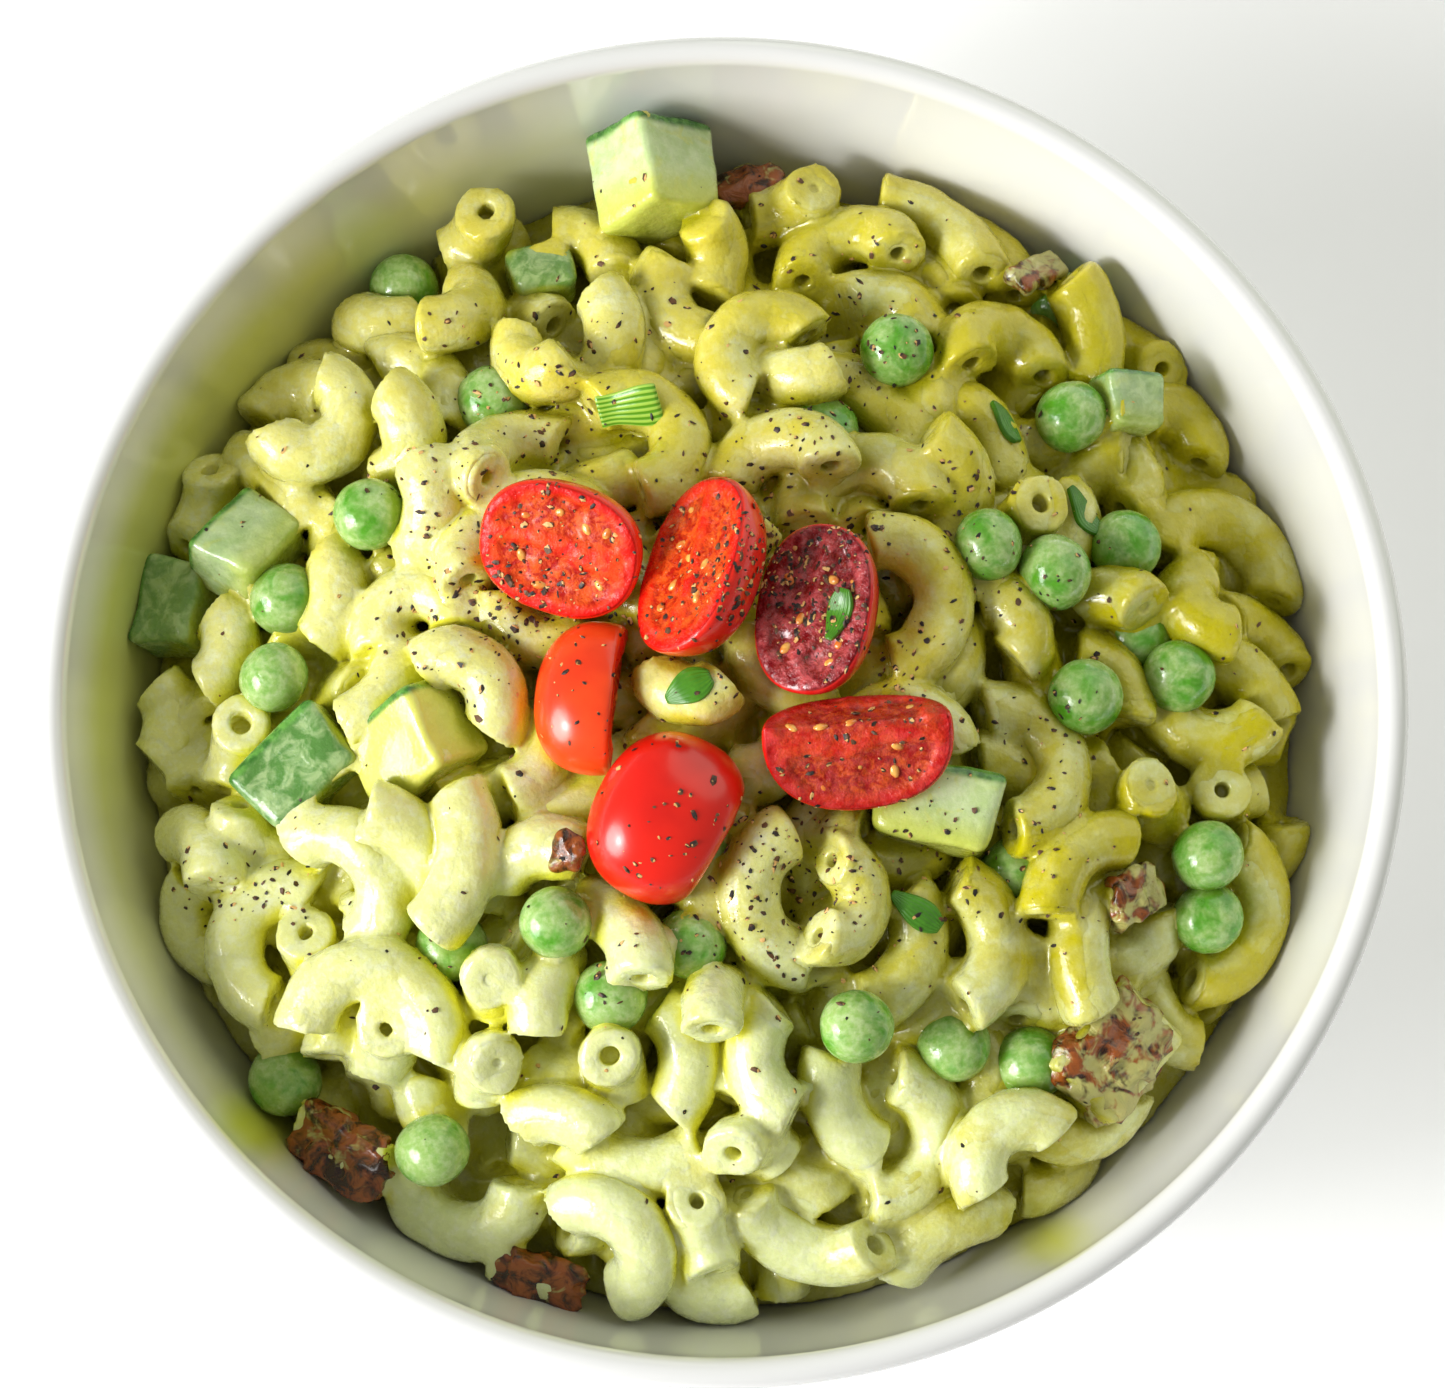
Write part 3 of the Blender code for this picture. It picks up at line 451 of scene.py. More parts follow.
# Stage: each lamp's name, place from the rim's middle in metres, width in metres, power in watts
# and colour, then the floor's half width, and the picture's width and the rim's half width in
# pixels
WHITE = (1.0, 1.0, 1.0)
LAMPS = (
    ("window", (-1.20, -0.40, 0.60), 1.0, 27.5, WHITE),
    ("glint", (-1.12, -0.46, 0.85), 0.26, 6.0, WHITE),
    ("fill", (0.95, 1.15, 0.65), 2.4, 17.0, (0.96, 1.0, 0.84)),
)
FLOOR_REACH = 1500.0
FLOOR_DROP = 0.2
SENSOR_WIDTH = 36.0
PHOTO_WIDTH = 1445.0
RIM_PIXELS = 688.0


def turn_about(axis, degrees):
    """A 3 x 3 rotation about the X, Y or Z axis."""
    return np.array(Matrix.Rotation(math.radians(degrees), 3, axis))


def wall_radius(height, outer=False):
    """Radius of the bowl's inner or outer wall at a height."""
    foot, start = (SHOULDER_RADIUS, SHOULDER_HEIGHT) if outer else (FLOOR_RADIUS, FLOOR_HEIGHT)
    top = RIM_RADIUS if outer else RIM_RADIUS - 2 * LIP_RADIUS
    rise = np.clip((height - start) / (BOWL_HEIGHT - LIP_RADIUS - start), 0, 1)
    angle = np.arccos(1 - rise * (1 - math.cos(WALL_TURN)))
    return foot + (top - foot) * np.sin(angle) / math.sin(WALL_TURN)


def wall_row(rows, start, end, outer=False):
    """Points up the wall between two heights, closer together where it curves most."""
    heights = [start + (end - start) * (i / rows) ** 1.5 for i in range(rows + 1)]
    return [(float(wall_radius(height, outer)), height) for height in heights]


def heap_height(x, y):
    """Height of the salad's outer surface over the foot."""
    spread = np.minimum((x * x + y * y) / FOOD_RADIUS**2, 1.0)
    return FOOD_LINE - HEAP_LEAN * y + MOUND_RISE * (1.0 - spread)


def core_height(x, y):
    """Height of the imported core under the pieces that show, with gentle hollows."""
    short = np.sin(x * HOLLOW_WAVE + 1.0) * np.cos(y * HOLLOW_WAVE - 0.6)
    long = np.sin(x * HOLLOW_WAVE / 2 - y * HOLLOW_WAVE)
    return heap_height(x, y) - CORE_DEPTH + HOLLOW_DEPTH * (short + long / 2)


def surface_turn(x, y):
    """The rotation that lays a piece on the slope of the mound."""
    slope = 2 * MOUND_RISE / FOOD_RADIUS**2
    normal = Vector((slope * x, slope * y + HEAP_LEAN, 1.0)).normalized()
    return np.array(Vector((0, 0, 1)).rotation_difference(normal).to_matrix())


def plan_place(x, y, lift):
    """Slide a place seen at rim height down the line of sight to the heap."""
    height = heap_height(x, y) + lift - BOWL_HEIGHT
    scale = 1 - height / SIGHT_RANGE
    return np.array((
        x * scale,
        (y * scale - height * math.sin(SIGHT_TILT)) / math.cos(SIGHT_TILT),
    ))


class Piece:
    """One ingredient as a chain of balls, with the place and turn it settles into."""

    def __init__(self, kind, place, lift, turn, balls, radius, size=None):
        x, y = plan_place(place[0], place[1], lift)
        self.kind = kind
        self.size = size
        self.turn = surface_turn(x, y) @ turn
        self.balls = np.array(balls, dtype=float)
        self.radius = radius
        top = (self.balls @ self.turn.T)[:, 2].max() + radius
        self.place = np.array((x, y, heap_height(x, y) + lift - top))
        self.target = self.place.copy()

    def world(self, points):
        """Points of the piece where they lie in the bowl."""
        return np.asarray(points) @ self.turn.T + self.place


def bend_points(sweep, bend, count):
    """Points along an elbow's middle line, open toward +X, its middle at the origin."""
    angles = np.radians(np.linspace(-sweep / 2, sweep / 2, count))
    return np.stack((bend - bend * np.cos(angles), bend * np.sin(angles), 0 * angles), axis=1)


def elbow_pieces():
    """The macaroni that shows, each bent, dipped and rolled a little differently."""
    rng = random.Random(LIE_SEED)
    pieces = []
    for x, y, face, sweep, bend, dip, roll, lift in ELBOWS:
        turn = (turn_about("Z", face + rng.uniform(-5, 5))
                @ turn_about("Y", dip + rng.uniform(-8, 8))
                @ turn_about("X", roll + rng.uniform(-12, 12)))
        balls = bend_points(sweep, bend, max(4, round(math.radians(sweep) * bend / BALL_STEP)))
        pieces.append(Piece("elbow", (x, y), lift, turn, balls, ELBOW_RADIUS, (sweep, bend)))
    return pieces


def upright_pieces():
    """The macaroni that stands, each placed by the open end that shows."""
    sweep, bend = UPRIGHT_SHAPE
    pieces = []
    for x, y, face, lean, lift in UPRIGHT:
        turn = turn_about("Z", face) @ turn_about("Y", lean - sweep / 2) @ turn_about("X", 90)
        balls = bend_points(sweep, bend, 5)
        piece = Piece("elbow", (x, y), lift, turn, balls, ELBOW_RADIUS, (sweep, bend))
        piece.turn = turn
        end = max((turn @ np.array(ball) for ball in (balls[0], balls[-1])), key=lambda p: p[2])
        plan = plan_place(x, y, lift)
        piece.place = np.array((*plan, heap_height(*plan) + lift)) - end
        piece.target = piece.place.copy()
        pieces.append(piece)
    return pieces


def gap_pieces(pieces):
    """Short elbows wherever the listed pieces leave the heap bare."""
    rng = random.Random(GAP_SEED)
    places = np.array([piece.world(ball)[:2] for piece in pieces for ball in piece.balls])
    step = GAP_SPACING
    count = int(FOOD_RADIUS / step)
    found = []
    for row in range(-count, count + 1):
        for column in range(-count, count + 1):
            x = (column + 0.5 * (row % 2)) * step + rng.uniform(-1, 1)
            y = row * step * 0.87 + rng.uniform(-1, 1)
            face, sweep, roll = rng.uniform(0, 360), rng.uniform(70, 130), rng.uniform(-30, 30)
            near = np.sqrt(((places - (x, y)) ** 2).sum(axis=1)).min()
            if math.hypot(x, y) > FOOD_RADIUS - GAP_CLEAR or near < GAP_CLEAR:
                continue
            turn = turn_about("Z", face) @ turn_about("X", roll)
            balls = bend_points(sweep, GAP_BEND, 4)
            size = (sweep, GAP_BEND)
            piece = Piece("elbow", (x, y), -GAP_DEPTH, turn, balls, ELBOW_RADIUS, size)
            piece.place[:2] = (x, y)
            piece.target = piece.place.copy()
            found.append(piece)
            places = np.vstack((places, [piece.world(ball)[:2] for ball in balls]))
    return found


def small_pieces():
    """Peas, cucumber cubes and dried tomato among the macaroni."""
    pieces = []
    for x, y, lift in PEAS:
        pieces.append(Piece("pea", (x, y), lift, np.eye(3), [(0, 0, 0)], PEA_RADIUS))
    for x, y, edges, face, tilt, roll, lift in CUCUMBER:
        turn = turn_about("Z", face) @ turn_about("X", tilt) @ turn_about("Y", roll)
        radius = min(edges) * CUBE_BALL
        reach = [edge / 2 - radius for edge in edges]
        corners = [(a * reach[0], b * reach[1], c * reach[2])
                   for a in (-1, 1) for b in (-1, 1) for c in (-1, 1)]
        pieces.append(Piece("cucumber", (x, y), lift, turn, corners, radius, edges))
    for x, y, length, width, face, lift in DRIED:
        turn = turn_about("Z", face)
        edges = (length, width, width * DRIED_THICKNESS)
        reach = length / 2 - width / 3
        balls = [(-reach, 0, 0), (0, 0, 0), (reach, 0, 0)]
        pieces.append(Piece("dried", (x, y), lift, turn, balls, width / 3, edges))
    return pieces


def tomato_places():
    """Place, turn, half size and second cut of each tomato, its cut face toward its own +Z."""
    places = []
    for x, y, length, width, depth, face, tilt, roll, lift, cut in TOMATOES:
        plan = plan_place(x, y, lift)
        turn = turn_about("Z", face) @ turn_about("Y", tilt) @ turn_about("X", roll)
        height = heap_height(*plan) + lift
        sunk = depth if abs(roll) > 90 else CUT_SUNK
        axes = np.array((length, width, depth))
        places.append((np.array((*plan, height - sunk)), turn, axes, cut))
    return places


def bluntness(scaled):
    """How far out points lie in a blunt round body of unit half sizes: 1 on its skin."""
    return (np.abs(scaled) ** BLUNTNESS).sum(axis=-1) ** (1 / BLUNTNESS)


def push_from_tomatoes(points, radii, tomatoes):
    """How far each ball has to move to clear the cut tomatoes."""
    push = np.zeros_like(points)
    for place, turn, axes, cut in tomatoes:
        local = (points - place) @ turn
        scaled = local / axes
        size = np.maximum(bluntness(scaled), 1e-6)
        skin = (size - 1) * np.linalg.norm(local, axis=1) / size
        out = np.sign(scaled) * np.abs(scaled) ** (BLUNTNESS - 1) / axes
        out /= np.maximum(np.linalg.norm(out, axis=1), 1e-6)[:, None]
        flat = np.maximum(local[:, 2], local[:, 1] - cut)
        side = np.where((local[:, 2] > local[:, 1] - cut)[:, None], np.eye(3)[2], np.eye(3)[1])
        depth = np.maximum(skin, flat)
        normal = np.where((flat > skin)[:, None], side, out)
        need = radii + TOMATO_ROOM - depth
        push += np.where(need > 0, need, 0)[:, None] * (normal @ turn.T)
    return push


def push_from_bowl(points, radii):
    """How far each ball has to move to clear the wall and the core."""
    push = np.zeros_like(points)
    spread = np.maximum(np.linalg.norm(points[:, :2], axis=1), 1e-6)
    over = spread + radii + WALL_MARGIN - wall_radius(points[:, 2])
    over = np.where(points[:, 2] < BOWL_HEIGHT - LIP_RADIUS, np.maximum(over, 0), 0)
    push[:, :2] -= points[:, :2] * (over / spread)[:, None]
    floor = core_height(points[:, 0], points[:, 1]) + CORE_CLEAR * radii
    push[:, 2] += np.maximum(floor - points[:, 2], 0)
    return push


def settle(pieces, tomatoes):
    """Ease the pieces off each other, each held near the place where it is seen."""
    owner = np.concatenate([np.full(len(p.balls), i) for i, p in enumerate(pieces)])
    radii = np.concatenate([np.full(len(p.balls), p.radius) for p in pieces])
    reach = (radii[:, None] + radii[None, :]) * TOUCH
    other = owner[:, None] != owner[None, :]
    for _ in range(SETTLE_ROUNDS):
        points = np.concatenate([p.world(p.balls) for p in pieces])
        apart = points[:, None, :] - points[None, :, :]
        distance = np.sqrt((apart**2).sum(axis=2)) + 1e-6
        overlap = np.where(other, np.maximum(reach - distance, 0), 0)
        push = (apart * (overlap / distance)[:, :, None]).sum(axis=1) * 0.5
        push += push_from_bowl(points, radii)
        push += push_from_tomatoes(points, radii, tomatoes)
        touched = (np.abs(push).sum(axis=1) > 1e-4).astype(float)
        for i, piece in enumerate(pieces):
            mine = owner == i
            count = max(touched[mine].sum(), 1.0)
            move = push[mine].sum(axis=0) / count
            arm = points[mine] - points[mine].mean(axis=0)
            spread = (arm**2).sum() + TURN_DRAG * len(arm)
            twist = np.cross(arm, push[mine]).sum(axis=0) / spread
            angle = min(float(np.linalg.norm(twist)), TURN_LIMIT)
            if angle > 1e-5:
                axis = Vector(twist).normalized()
                centre = points[mine].mean(axis=0)
                spin = np.array(Matrix.Rotation(angle, 3, axis))
                piece.turn = spin @ piece.turn
                piece.place = centre + spin @ (piece.place - centre)
            pull = PULL_BACK * (piece.target - piece.place)
            piece.place = np.round(piece.place + move + pull, 5)


class SaladSizes(bpy.types.PropertyGroup):
    """Sizes of the fine pieces."""

    hole_radius: FloatProperty(
        name="Macaroni hole", description="Radius of the hole in a macaroni end",
        default=1.15 * MM, min=0.5 * MM, max=2.0 * MM, unit="LENGTH")
    dressing_blend: FloatProperty(
        name="Dressing fillet", description="How widely the dressing rounds the creases",
        default=0.42 * MM, min=0.1 * MM, max=1.0 * MM, unit="LENGTH")
    dressing_step: FloatProperty(
        name="Dressing detail", description="Grid step of the dressing's surface",
        default=0.55 * MM, min=0.3 * MM, max=1.5 * MM, unit="LENGTH")
    pepper_size: FloatProperty(
        name="Pepper size", description="Length of the largest pepper flakes",
        default=1.0 * MM, min=0.2 * MM, max=2.0 * MM, unit="LENGTH")
    pepper_density: FloatProperty(
        name="Pepper density", description="Pepper flakes on each square metre at the middle",
        default=750000.0, min=0.0, max=4000000.0)
    pepper_seed: IntProperty(
        name="Pepper seed", description="Changes where the pepper falls", default=7)


class SaladColours(bpy.types.PropertyGroup):
    """Main colours of the finishes."""

    glaze: FloatVectorProperty(
        name="Glaze", description="Colour of the bowl", subtype="COLOR",
        default=(0.80, 0.80, 0.79), min=0.0, max=1.0)
    dressing: FloatVectorProperty(
        name="Dressing", description="Colour of the dressing where it is thick",
        subtype="COLOR", default=(0.74, 0.79, 0.38), min=0.0, max=1.0)
    # Painted shade: the colour the dressing takes in creases and deep in the heap
    crevice_shade: FloatVectorProperty(
        name="Crevice", description="Colour of the dressing deep between the pieces",
        subtype="COLOR", default=(0.36, 0.33, 0.001), min=0.0, max=1.0)
    pasta: FloatVectorProperty(
        name="Pasta", description="Colour of the macaroni under a thin coat",
        subtype="COLOR", default=(0.55, 0.485, 0.001), min=0.0, max=1.0)
    pea: FloatVectorProperty(
        name="Pea", description="Colour of a bare pea", subtype="COLOR",
        default=(0.085, 0.31, 0.014), min=0.0, max=1.0)
    cucumber: FloatVectorProperty(
        name="Cucumber", description="Colour of the cucumber's flesh", subtype="COLOR",
        default=(0.58, 0.72, 0.32), min=0.0, max=1.0)
    tomato: FloatVectorProperty(
        name="Tomato", description="Colour of the cherry tomato's skin", subtype="COLOR",
        default=(0.80, 0.010, 0.004), min=0.0, max=1.0)
    dried: FloatVectorProperty(
        name="Dried tomato", description="Colour of the browned pieces", subtype="COLOR",
        default=(0.20, 0.050, 0.008), min=0.0, max=1.0)


class Field:
    """A grid of distances to the nearest food, rounded softly where pieces meet."""

    def __init__(self, low, high, step, blend):
        self.blend = blend
        self.axes = [np.arange(a, b, step) for a, b in zip(low, high)]
        self.total = np.full([len(axis) for axis in self.axes], 1e-9, dtype=np.float32)

    def add(self, low, high, distance):
        """Add one solid; distance takes points and gives how far each is outside it."""
        window = tuple(
            slice(*np.searchsorted(axis, (a, b))) for axis, a, b in zip(self.axes, low, high))
        grids = np.meshgrid(*[axis[part] for axis, part in zip(self.axes, window)],
                            indexing="ij")
        depth = distance(np.stack(grids, axis=-1))
        self.total[window] += np.exp(np.minimum(-depth / self.blend, 40))


def read_grid(values, low, step, points):
    """Values of a grid at any points, by linear interpolation."""
    place = (np.asarray(points) - low) / step
    size = np.array(values.shape) - 2
    cell = np.clip(np.floor(place).astype(int), 0, size)
    part = np.clip(place - cell, 0, 1)
    result = np.zeros(len(place))
    for dx in (0, 1):
        for dy in (0, 1):
            for dz in (0, 1):
                weight = (np.abs(1 - dx - part[:, 0]) * np.abs(1 - dy - part[:, 1])
                          * np.abs(1 - dz - part[:, 2]))
                result += weight * values[cell[:, 0] + dx, cell[:, 1] + dy, cell[:, 2] + dz]
    return result


@functools.lru_cache(maxsize=None)
def noise_lattice(seed):
    """A small repeating block of random values."""
    return np.random.default_rng(seed).uniform(-1, 1, (LATTICE,) * 3).astype(np.float32)


def rough(points, size, seed):
    """Smooth random values from -1 to 1 that change over a length."""
    place = np.asarray(points) / size + 16.37
    cell = np.floor(place).astype(int)
    part = place - cell
    part = part * part * (3 - 2 * part)
    cell = cell % LATTICE
    after = (cell + 1) % LATTICE
    block = noise_lattice(seed)
    result = 0
    for x, wx in ((cell[..., 0], 1 - part[..., 0]), (after[..., 0], part[..., 0])):
        for y, wy in ((cell[..., 1], 1 - part[..., 1]), (after[..., 1], part[..., 1])):
            for z, wz in ((cell[..., 2], 1 - part[..., 2]), (after[..., 2], part[..., 2])):
                result = result + wx * wy * wz * block[x, y, z]
    return result


def coat(points):
    """How unevenly the dressing coats what lies under it, in millimetres."""
    return sum(height * rough(points, length, seed) for height, length, seed in COAT_LAYERS)


def surface_net(values, low, step):
    """Points and quads of the surface where a grid of values passes zero."""
    inside = values < 0
    count = np.zeros([n - 1 for n in values.shape], dtype=np.int8)
    for dx in (0, 1):
        for dy in (0, 1):
            for dz in (0, 1):
                count += inside[dx:dx + count.shape[0], dy:dy + count.shape[1],
                                dz:dz + count.shape[2]]
    active = (count > 0) & (count < 8)
    cells = np.argwhere(active)
    index = np.full(count.shape, -1, dtype=np.int64)
    index[active] = np.arange(len(cells))
    total = np.zeros((len(cells), 3))
    hits = np.zeros(len(cells))
    for axis in range(3):
        step_along = np.eye(3, dtype=int)[axis]
        sides = [np.eye(3, dtype=int)[(axis + turn) % 3] for turn in (1, 2)]
        for first in (0, 1):
            for second in (0, 1):
                start = cells + first * sides[0] + second * sides[1]
                end = start + step_along
                a = values[start[:, 0], start[:, 1], start[:, 2]]
                b = values[end[:, 0], end[:, 1], end[:, 2]]
                cross = (a < 0) != (b < 0)
                part = np.where(cross, a / np.where(cross, a - b, 1), 0)
                total += cross[:, None] * (start + part[:, None] * step_along)
                hits += cross
    points = low + step * total / hits[:, None]
    quads = []
    for axis in range(3):
        step_along = np.eye(3, dtype=int)[axis]
        first, second = [np.eye(3, dtype=int)[(axis + turn) % 3] for turn in (1, 2)]
        ahead = [slice(None)] * 3
        behind = [slice(None)] * 3
        ahead[axis] = slice(1, None)
        behind[axis] = slice(None, -1)
        change = inside[tuple(ahead)] != inside[tuple(behind)]
        at = np.argwhere(change)
        limit = np.array(count.shape)
        keep = ((at > 0) | (step_along == 1)).all(axis=1) & (at < limit).all(axis=1)
        at = at[keep]
        ring = [at - first - second, at - second, at, at - first]
        quad = np.stack([index[c[:, 0], c[:, 1], c[:, 2]] for c in ring], axis=1)
        filled = inside[at[:, 0], at[:, 1], at[:, 2]]
        quad[~filled] = quad[~filled][:, ::-1]
        quads.append(quad)
    return points, np.concatenate(quads)


def outward(points, faces):
    """The faces of a closed shape, turned to point outwards."""
    corners = [face[:3] for face in faces]
    corners += [(face[0], face[2], face[3]) for face in faces if len(face) == 4]
    a, b, c = np.moveaxis(np.asarray(points)[np.array(corners)], 1, 0)
    volume = (a * np.cross(b, c)).sum()
    return faces if volume > 0 else [face[::-1] for face in faces]


def join_shapes(shapes):
    """Points and faces of many shapes as one list of each."""
    points = []
    faces = []
    start = 0
    for shape_points, shape_faces in shapes:
        points.append(np.asarray(shape_points))
        faces += [tuple(int(i) + start for i in face) for face in shape_faces]
        start += len(shape_points)
    return np.concatenate(points), faces


def make_piece(name, points, faces, material):
    """A smooth mesh object from points in millimetres."""
    mesh = bpy.data.meshes.new(name)
    mesh.from_pydata((np.asarray(points) * MM).tolist(), [], faces)
    mesh.update()
    mesh.polygons.foreach_set("use_smooth", np.ones(len(mesh.polygons), dtype=bool))
    mesh.materials.append(material)
    thing = bpy.data.objects.new(name, mesh)
    bpy.context.scene.collection.objects.link(thing)
    return thing


def mesh_points(mesh):
    """Points and normals of a mesh, the points in millimetres."""
    points = np.zeros(len(mesh.vertices) * 3)
    normals = np.zeros(len(mesh.vertices) * 3)
    mesh.vertices.foreach_get("co", points)
    mesh.vertex_normals.foreach_get("vector", normals)
    return points.reshape(-1, 3) / MM, normals.reshape(-1, 3)


def mark(thing, name, values):
    """Store a value for each point, for the finish to read."""
    layer = thing.data.attributes.new(name, "FLOAT", "POINT")
    layer.data.foreach_set("value", np.asarray(values, dtype=np.float32))


def mark_open(thing):
    """Store how open the room over each point is, from 0 in a crease to 1, and how deep under the
    heap's top it lies, both read as painted shade; then how creamy and warm the dressing is, the
    cream share painted lighter toward the lit left and front.
    """
    field = salad_field()
    points, normals = mesh_points(thing.data)
    # Openness, read by the finishes as painted shade in the creases
    near, far = [
        read_grid(field["all"], field["low"], field["step"], points + look * normals) / look
        for look in (NEAR_LOOK, FAR_LOOK)]
    mark(thing, "open", np.clip(0.5 * near + 0.5 * far, 0, 1))
    # Depth under the heap's top, read as painted shade deep in the heap
    under = heap_height(points[:, 0], points[:, 1]) - points[:, 2]
    mark(thing, "under", np.clip(under / DARK_DEPTH, 0, 1))
    x, y = points[:, 0] / FOOD_RADIUS, points[:, 1] / FOOD_RADIUS
    # Cream share: creamier dressing, and painted light rising toward the lit left and front
    cream, warm = [
        start + right * x + back * y + wander * rough(points, length, seed)
        for start, right, back, wander, length, seed in (CREAM_AND_LIGHT_DRIFT, WARM_DRIFT)]
    warm = warm + WARM_MIDDLE * np.exp(-(x * x + y * y) / WARM_SPREAD)
    mark(thing, "cream", np.clip(cream, 0, 1))
    mark(thing, "warm", np.clip(warm, 0, 1))


def finish_piece(thing, slot, *nodes):
    """Put a piece in its place in the frame."""
    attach(thing, "root")
    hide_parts(*nodes)


def heap_piece(name, shapes, material, **marks):
    """Join shapes into one piece of the heap, with a list of values a shape for each mark."""
    points, faces = join_shapes(shapes)
    thing = make_piece(name, points, faces, material)
    for label, values in marks.items():
        mark(thing, label, np.concatenate([
            np.broadcast_to(value, len(shape[0])) for value, shape in zip(values, shapes)]))
    finish_piece(thing, "dressed_pasta", "salad_heap")
    return thing


def under_pieces(pieces, tomatoes):
    """Macaroni lower in the heap, seen through the gaps between the top ones."""
    rng = random.Random(UNDER_SEED)
    found = []
    for step, lowest, highest in UNDER_LAYERS:
        layer = scattered_layer(rng, step, lowest, highest)
        tuck(layer, pieces + found, tomatoes)
        found += layer
    return seen_pieces(found, pieces)


def seen_pieces(loose, fixed):
    """The loose pieces that show between the others from above or aslant."""
    step = 1.0
    count = int(2 * RIM_RADIUS / step)
    shown = np.zeros(len(loose))
    for way in LOOKS:
        skyline = np.full((count, count), -1e3)
        samples = []
        for number, piece in enumerate(fixed + loose):
            balls = piece.world(piece.balls)
            heights = balls[:, 2] + piece.radius
            flat = balls[:, :2] - heights[:, None] * np.array(way) + RIM_RADIUS
            reach = int(piece.radius / step) - 1
            for (x, y), height in zip((flat / step).astype(int), heights):
                window = skyline[max(x - reach, 0):x + reach + 1, max(y - reach, 0):y + reach + 1]
                if number >= len(fixed):
                    samples.append((number - len(fixed), x, y, height))
                np.maximum(window, height, out=window)
        for number, x, y, height in samples:
            near = skyline[max(x - 1, 0):x + 2, max(y - 1, 0):y + 2]
            shown[number] += (near <= height + 0.8).any()
    return [piece for piece, seen in zip(loose, shown) if seen > 0]


def tuck(loose, fixed, tomatoes):
    """Push loose pieces down and aside until they clear the ones already in place."""
    held = np.concatenate([piece.world(piece.balls) for piece in fixed])
    held_radii = np.concatenate([np.full(len(p.balls), p.radius) for p in fixed])
    owner = np.concatenate([np.full(len(p.balls), i) for i, p in enumerate(loose)])
    radii = np.concatenate([np.full(len(p.balls), p.radius) for p in loose])
    reach = (radii[:, None] + radii[None, :]) * TOUCH
    reach_held = (radii[:, None] + held_radii[None, :]) * TOUCH
    other = owner[:, None] != owner[None, :]
    for _ in range(TUCK_ROUNDS):
        points = np.concatenate([p.world(p.balls) for p in loose])
        apart = points[:, None, :] - points[None, :, :]
        distance = np.sqrt((apart**2).sum(axis=2)) + 1e-6
        overlap = np.where(other, np.maximum(reach - distance, 0), 0)
        push = (apart * (overlap / distance)[:, :, None]).sum(axis=1) * 0.4
        apart = points[:, None, :] - held[None, :, :]
        distance = np.sqrt((apart**2).sum(axis=2)) + 1e-6
        overlap = np.maximum(reach_held - distance, 0)
        away = (apart * (overlap / distance)[:, :, None]).sum(axis=1) * 0.6
        away[:, 2] = np.minimum(away[:, 2], 0)
        push += away + push_from_tomatoes(points, radii, tomatoes)
        spread = np.maximum(np.linalg.norm(points[:, :2], axis=1), 1e-6)
        over = np.maximum(spread + radii + WALL_MARGIN - wall_radius(points[:, 2]), 0)
        push[:, :2] -= points[:, :2] * (over / spread)[:, None]
        for i, piece in enumerate(loose):
            mine = owner == i
            move = push[mine].mean(axis=0) * 1.5
            piece.place = np.round(piece.place + move + 0.05 * (piece.target - piece.place), 5)


def scattered_layer(rng, step, lowest, highest):
    """Macaroni lying every way on a jittered grid, a little under the heap's surface."""
    found = []
    count = int(FOOD_RADIUS / step) + 1
    for row in range(-count, count + 1):
        for column in range(-count, count + 1):
            x = (column + 0.5 * (row % 2)) * step + rng.uniform(-2, 2)
            y = row * step * 0.87 + rng.uniform(-2, 2)
            face, sweep = rng.uniform(0, 360), rng.uniform(90, 190)
            dip, roll = rng.uniform(-35, 35), rng.uniform(-50, 50)
            lift = rng.uniform(lowest, highest)
            if math.hypot(x, y) > FOOD_RADIUS - 4:
                continue
            turn = turn_about("Z", face) @ turn_about("Y", dip) @ turn_about("X", roll)
            bend = rng.uniform(5.5, 7.5)
            balls = bend_points(sweep, bend, 5)
            piece = Piece("elbow", (x, y), lift, turn, balls, ELBOW_RADIUS, (sweep, bend))
            piece.place[:2] += (x, y) - piece.place[:2]
            piece.target = piece.place.copy()
            found.append(piece)
    return found


@functools.lru_cache(maxsize=1)
def settled_salad():
    """The tomatoes, the pieces on top and the macaroni under them, all in place."""
    tomatoes = tomato_places()
    pieces = elbow_pieces() + upright_pieces() + small_pieces()
    pieces += gap_pieces(pieces)
    settle(pieces, tomatoes)
    return pieces, under_pieces(pieces, tomatoes), tomatoes


def pieces_of(kind):
    """The pieces on top that are of one kind."""
    return [piece for piece in settled_salad()[0] if piece.kind == kind]


def elbow_distance(piece, hole=0.0):
    """Distance to a bent tube with flat ends."""
    sweep, bend = piece.size
    half = math.radians(sweep) / 2

    def distance(points):
        local = (points - piece.place) @ piece.turn
        x = local[..., 0] - bend
        spread = np.hypot(x, local[..., 1])
        angle = np.arctan2(local[..., 1], -x)
        line = np.hypot(spread - bend, local[..., 2])
        over = np.abs(angle) - half
        end = spread * np.sin(np.clip(over, -math.pi / 2, math.pi / 2))
        solid = np.maximum(line - piece.radius * TUBE_DRAWN, end)
        if hole:
            bore = np.maximum(line - hole, -end - HOLE_DEPTH)
            solid = np.maximum(solid, -bore)
        return solid
    return distance


def ball_distance(piece):
    """Distance to a ball."""
    return lambda points: np.linalg.norm(points - piece.place, axis=-1) - piece.radius


def block_distance(piece, corner):
    """Distance to a block with rounded edges."""
    reach = np.array(piece.size) / 2 - corner

    def distance(points):
        local = np.abs((points - piece.place) @ piece.turn) - reach
        outer = np.linalg.norm(np.maximum(local, 0), axis=-1)
        return outer + np.minimum(local.max(axis=-1), 0) - corner
    return distance


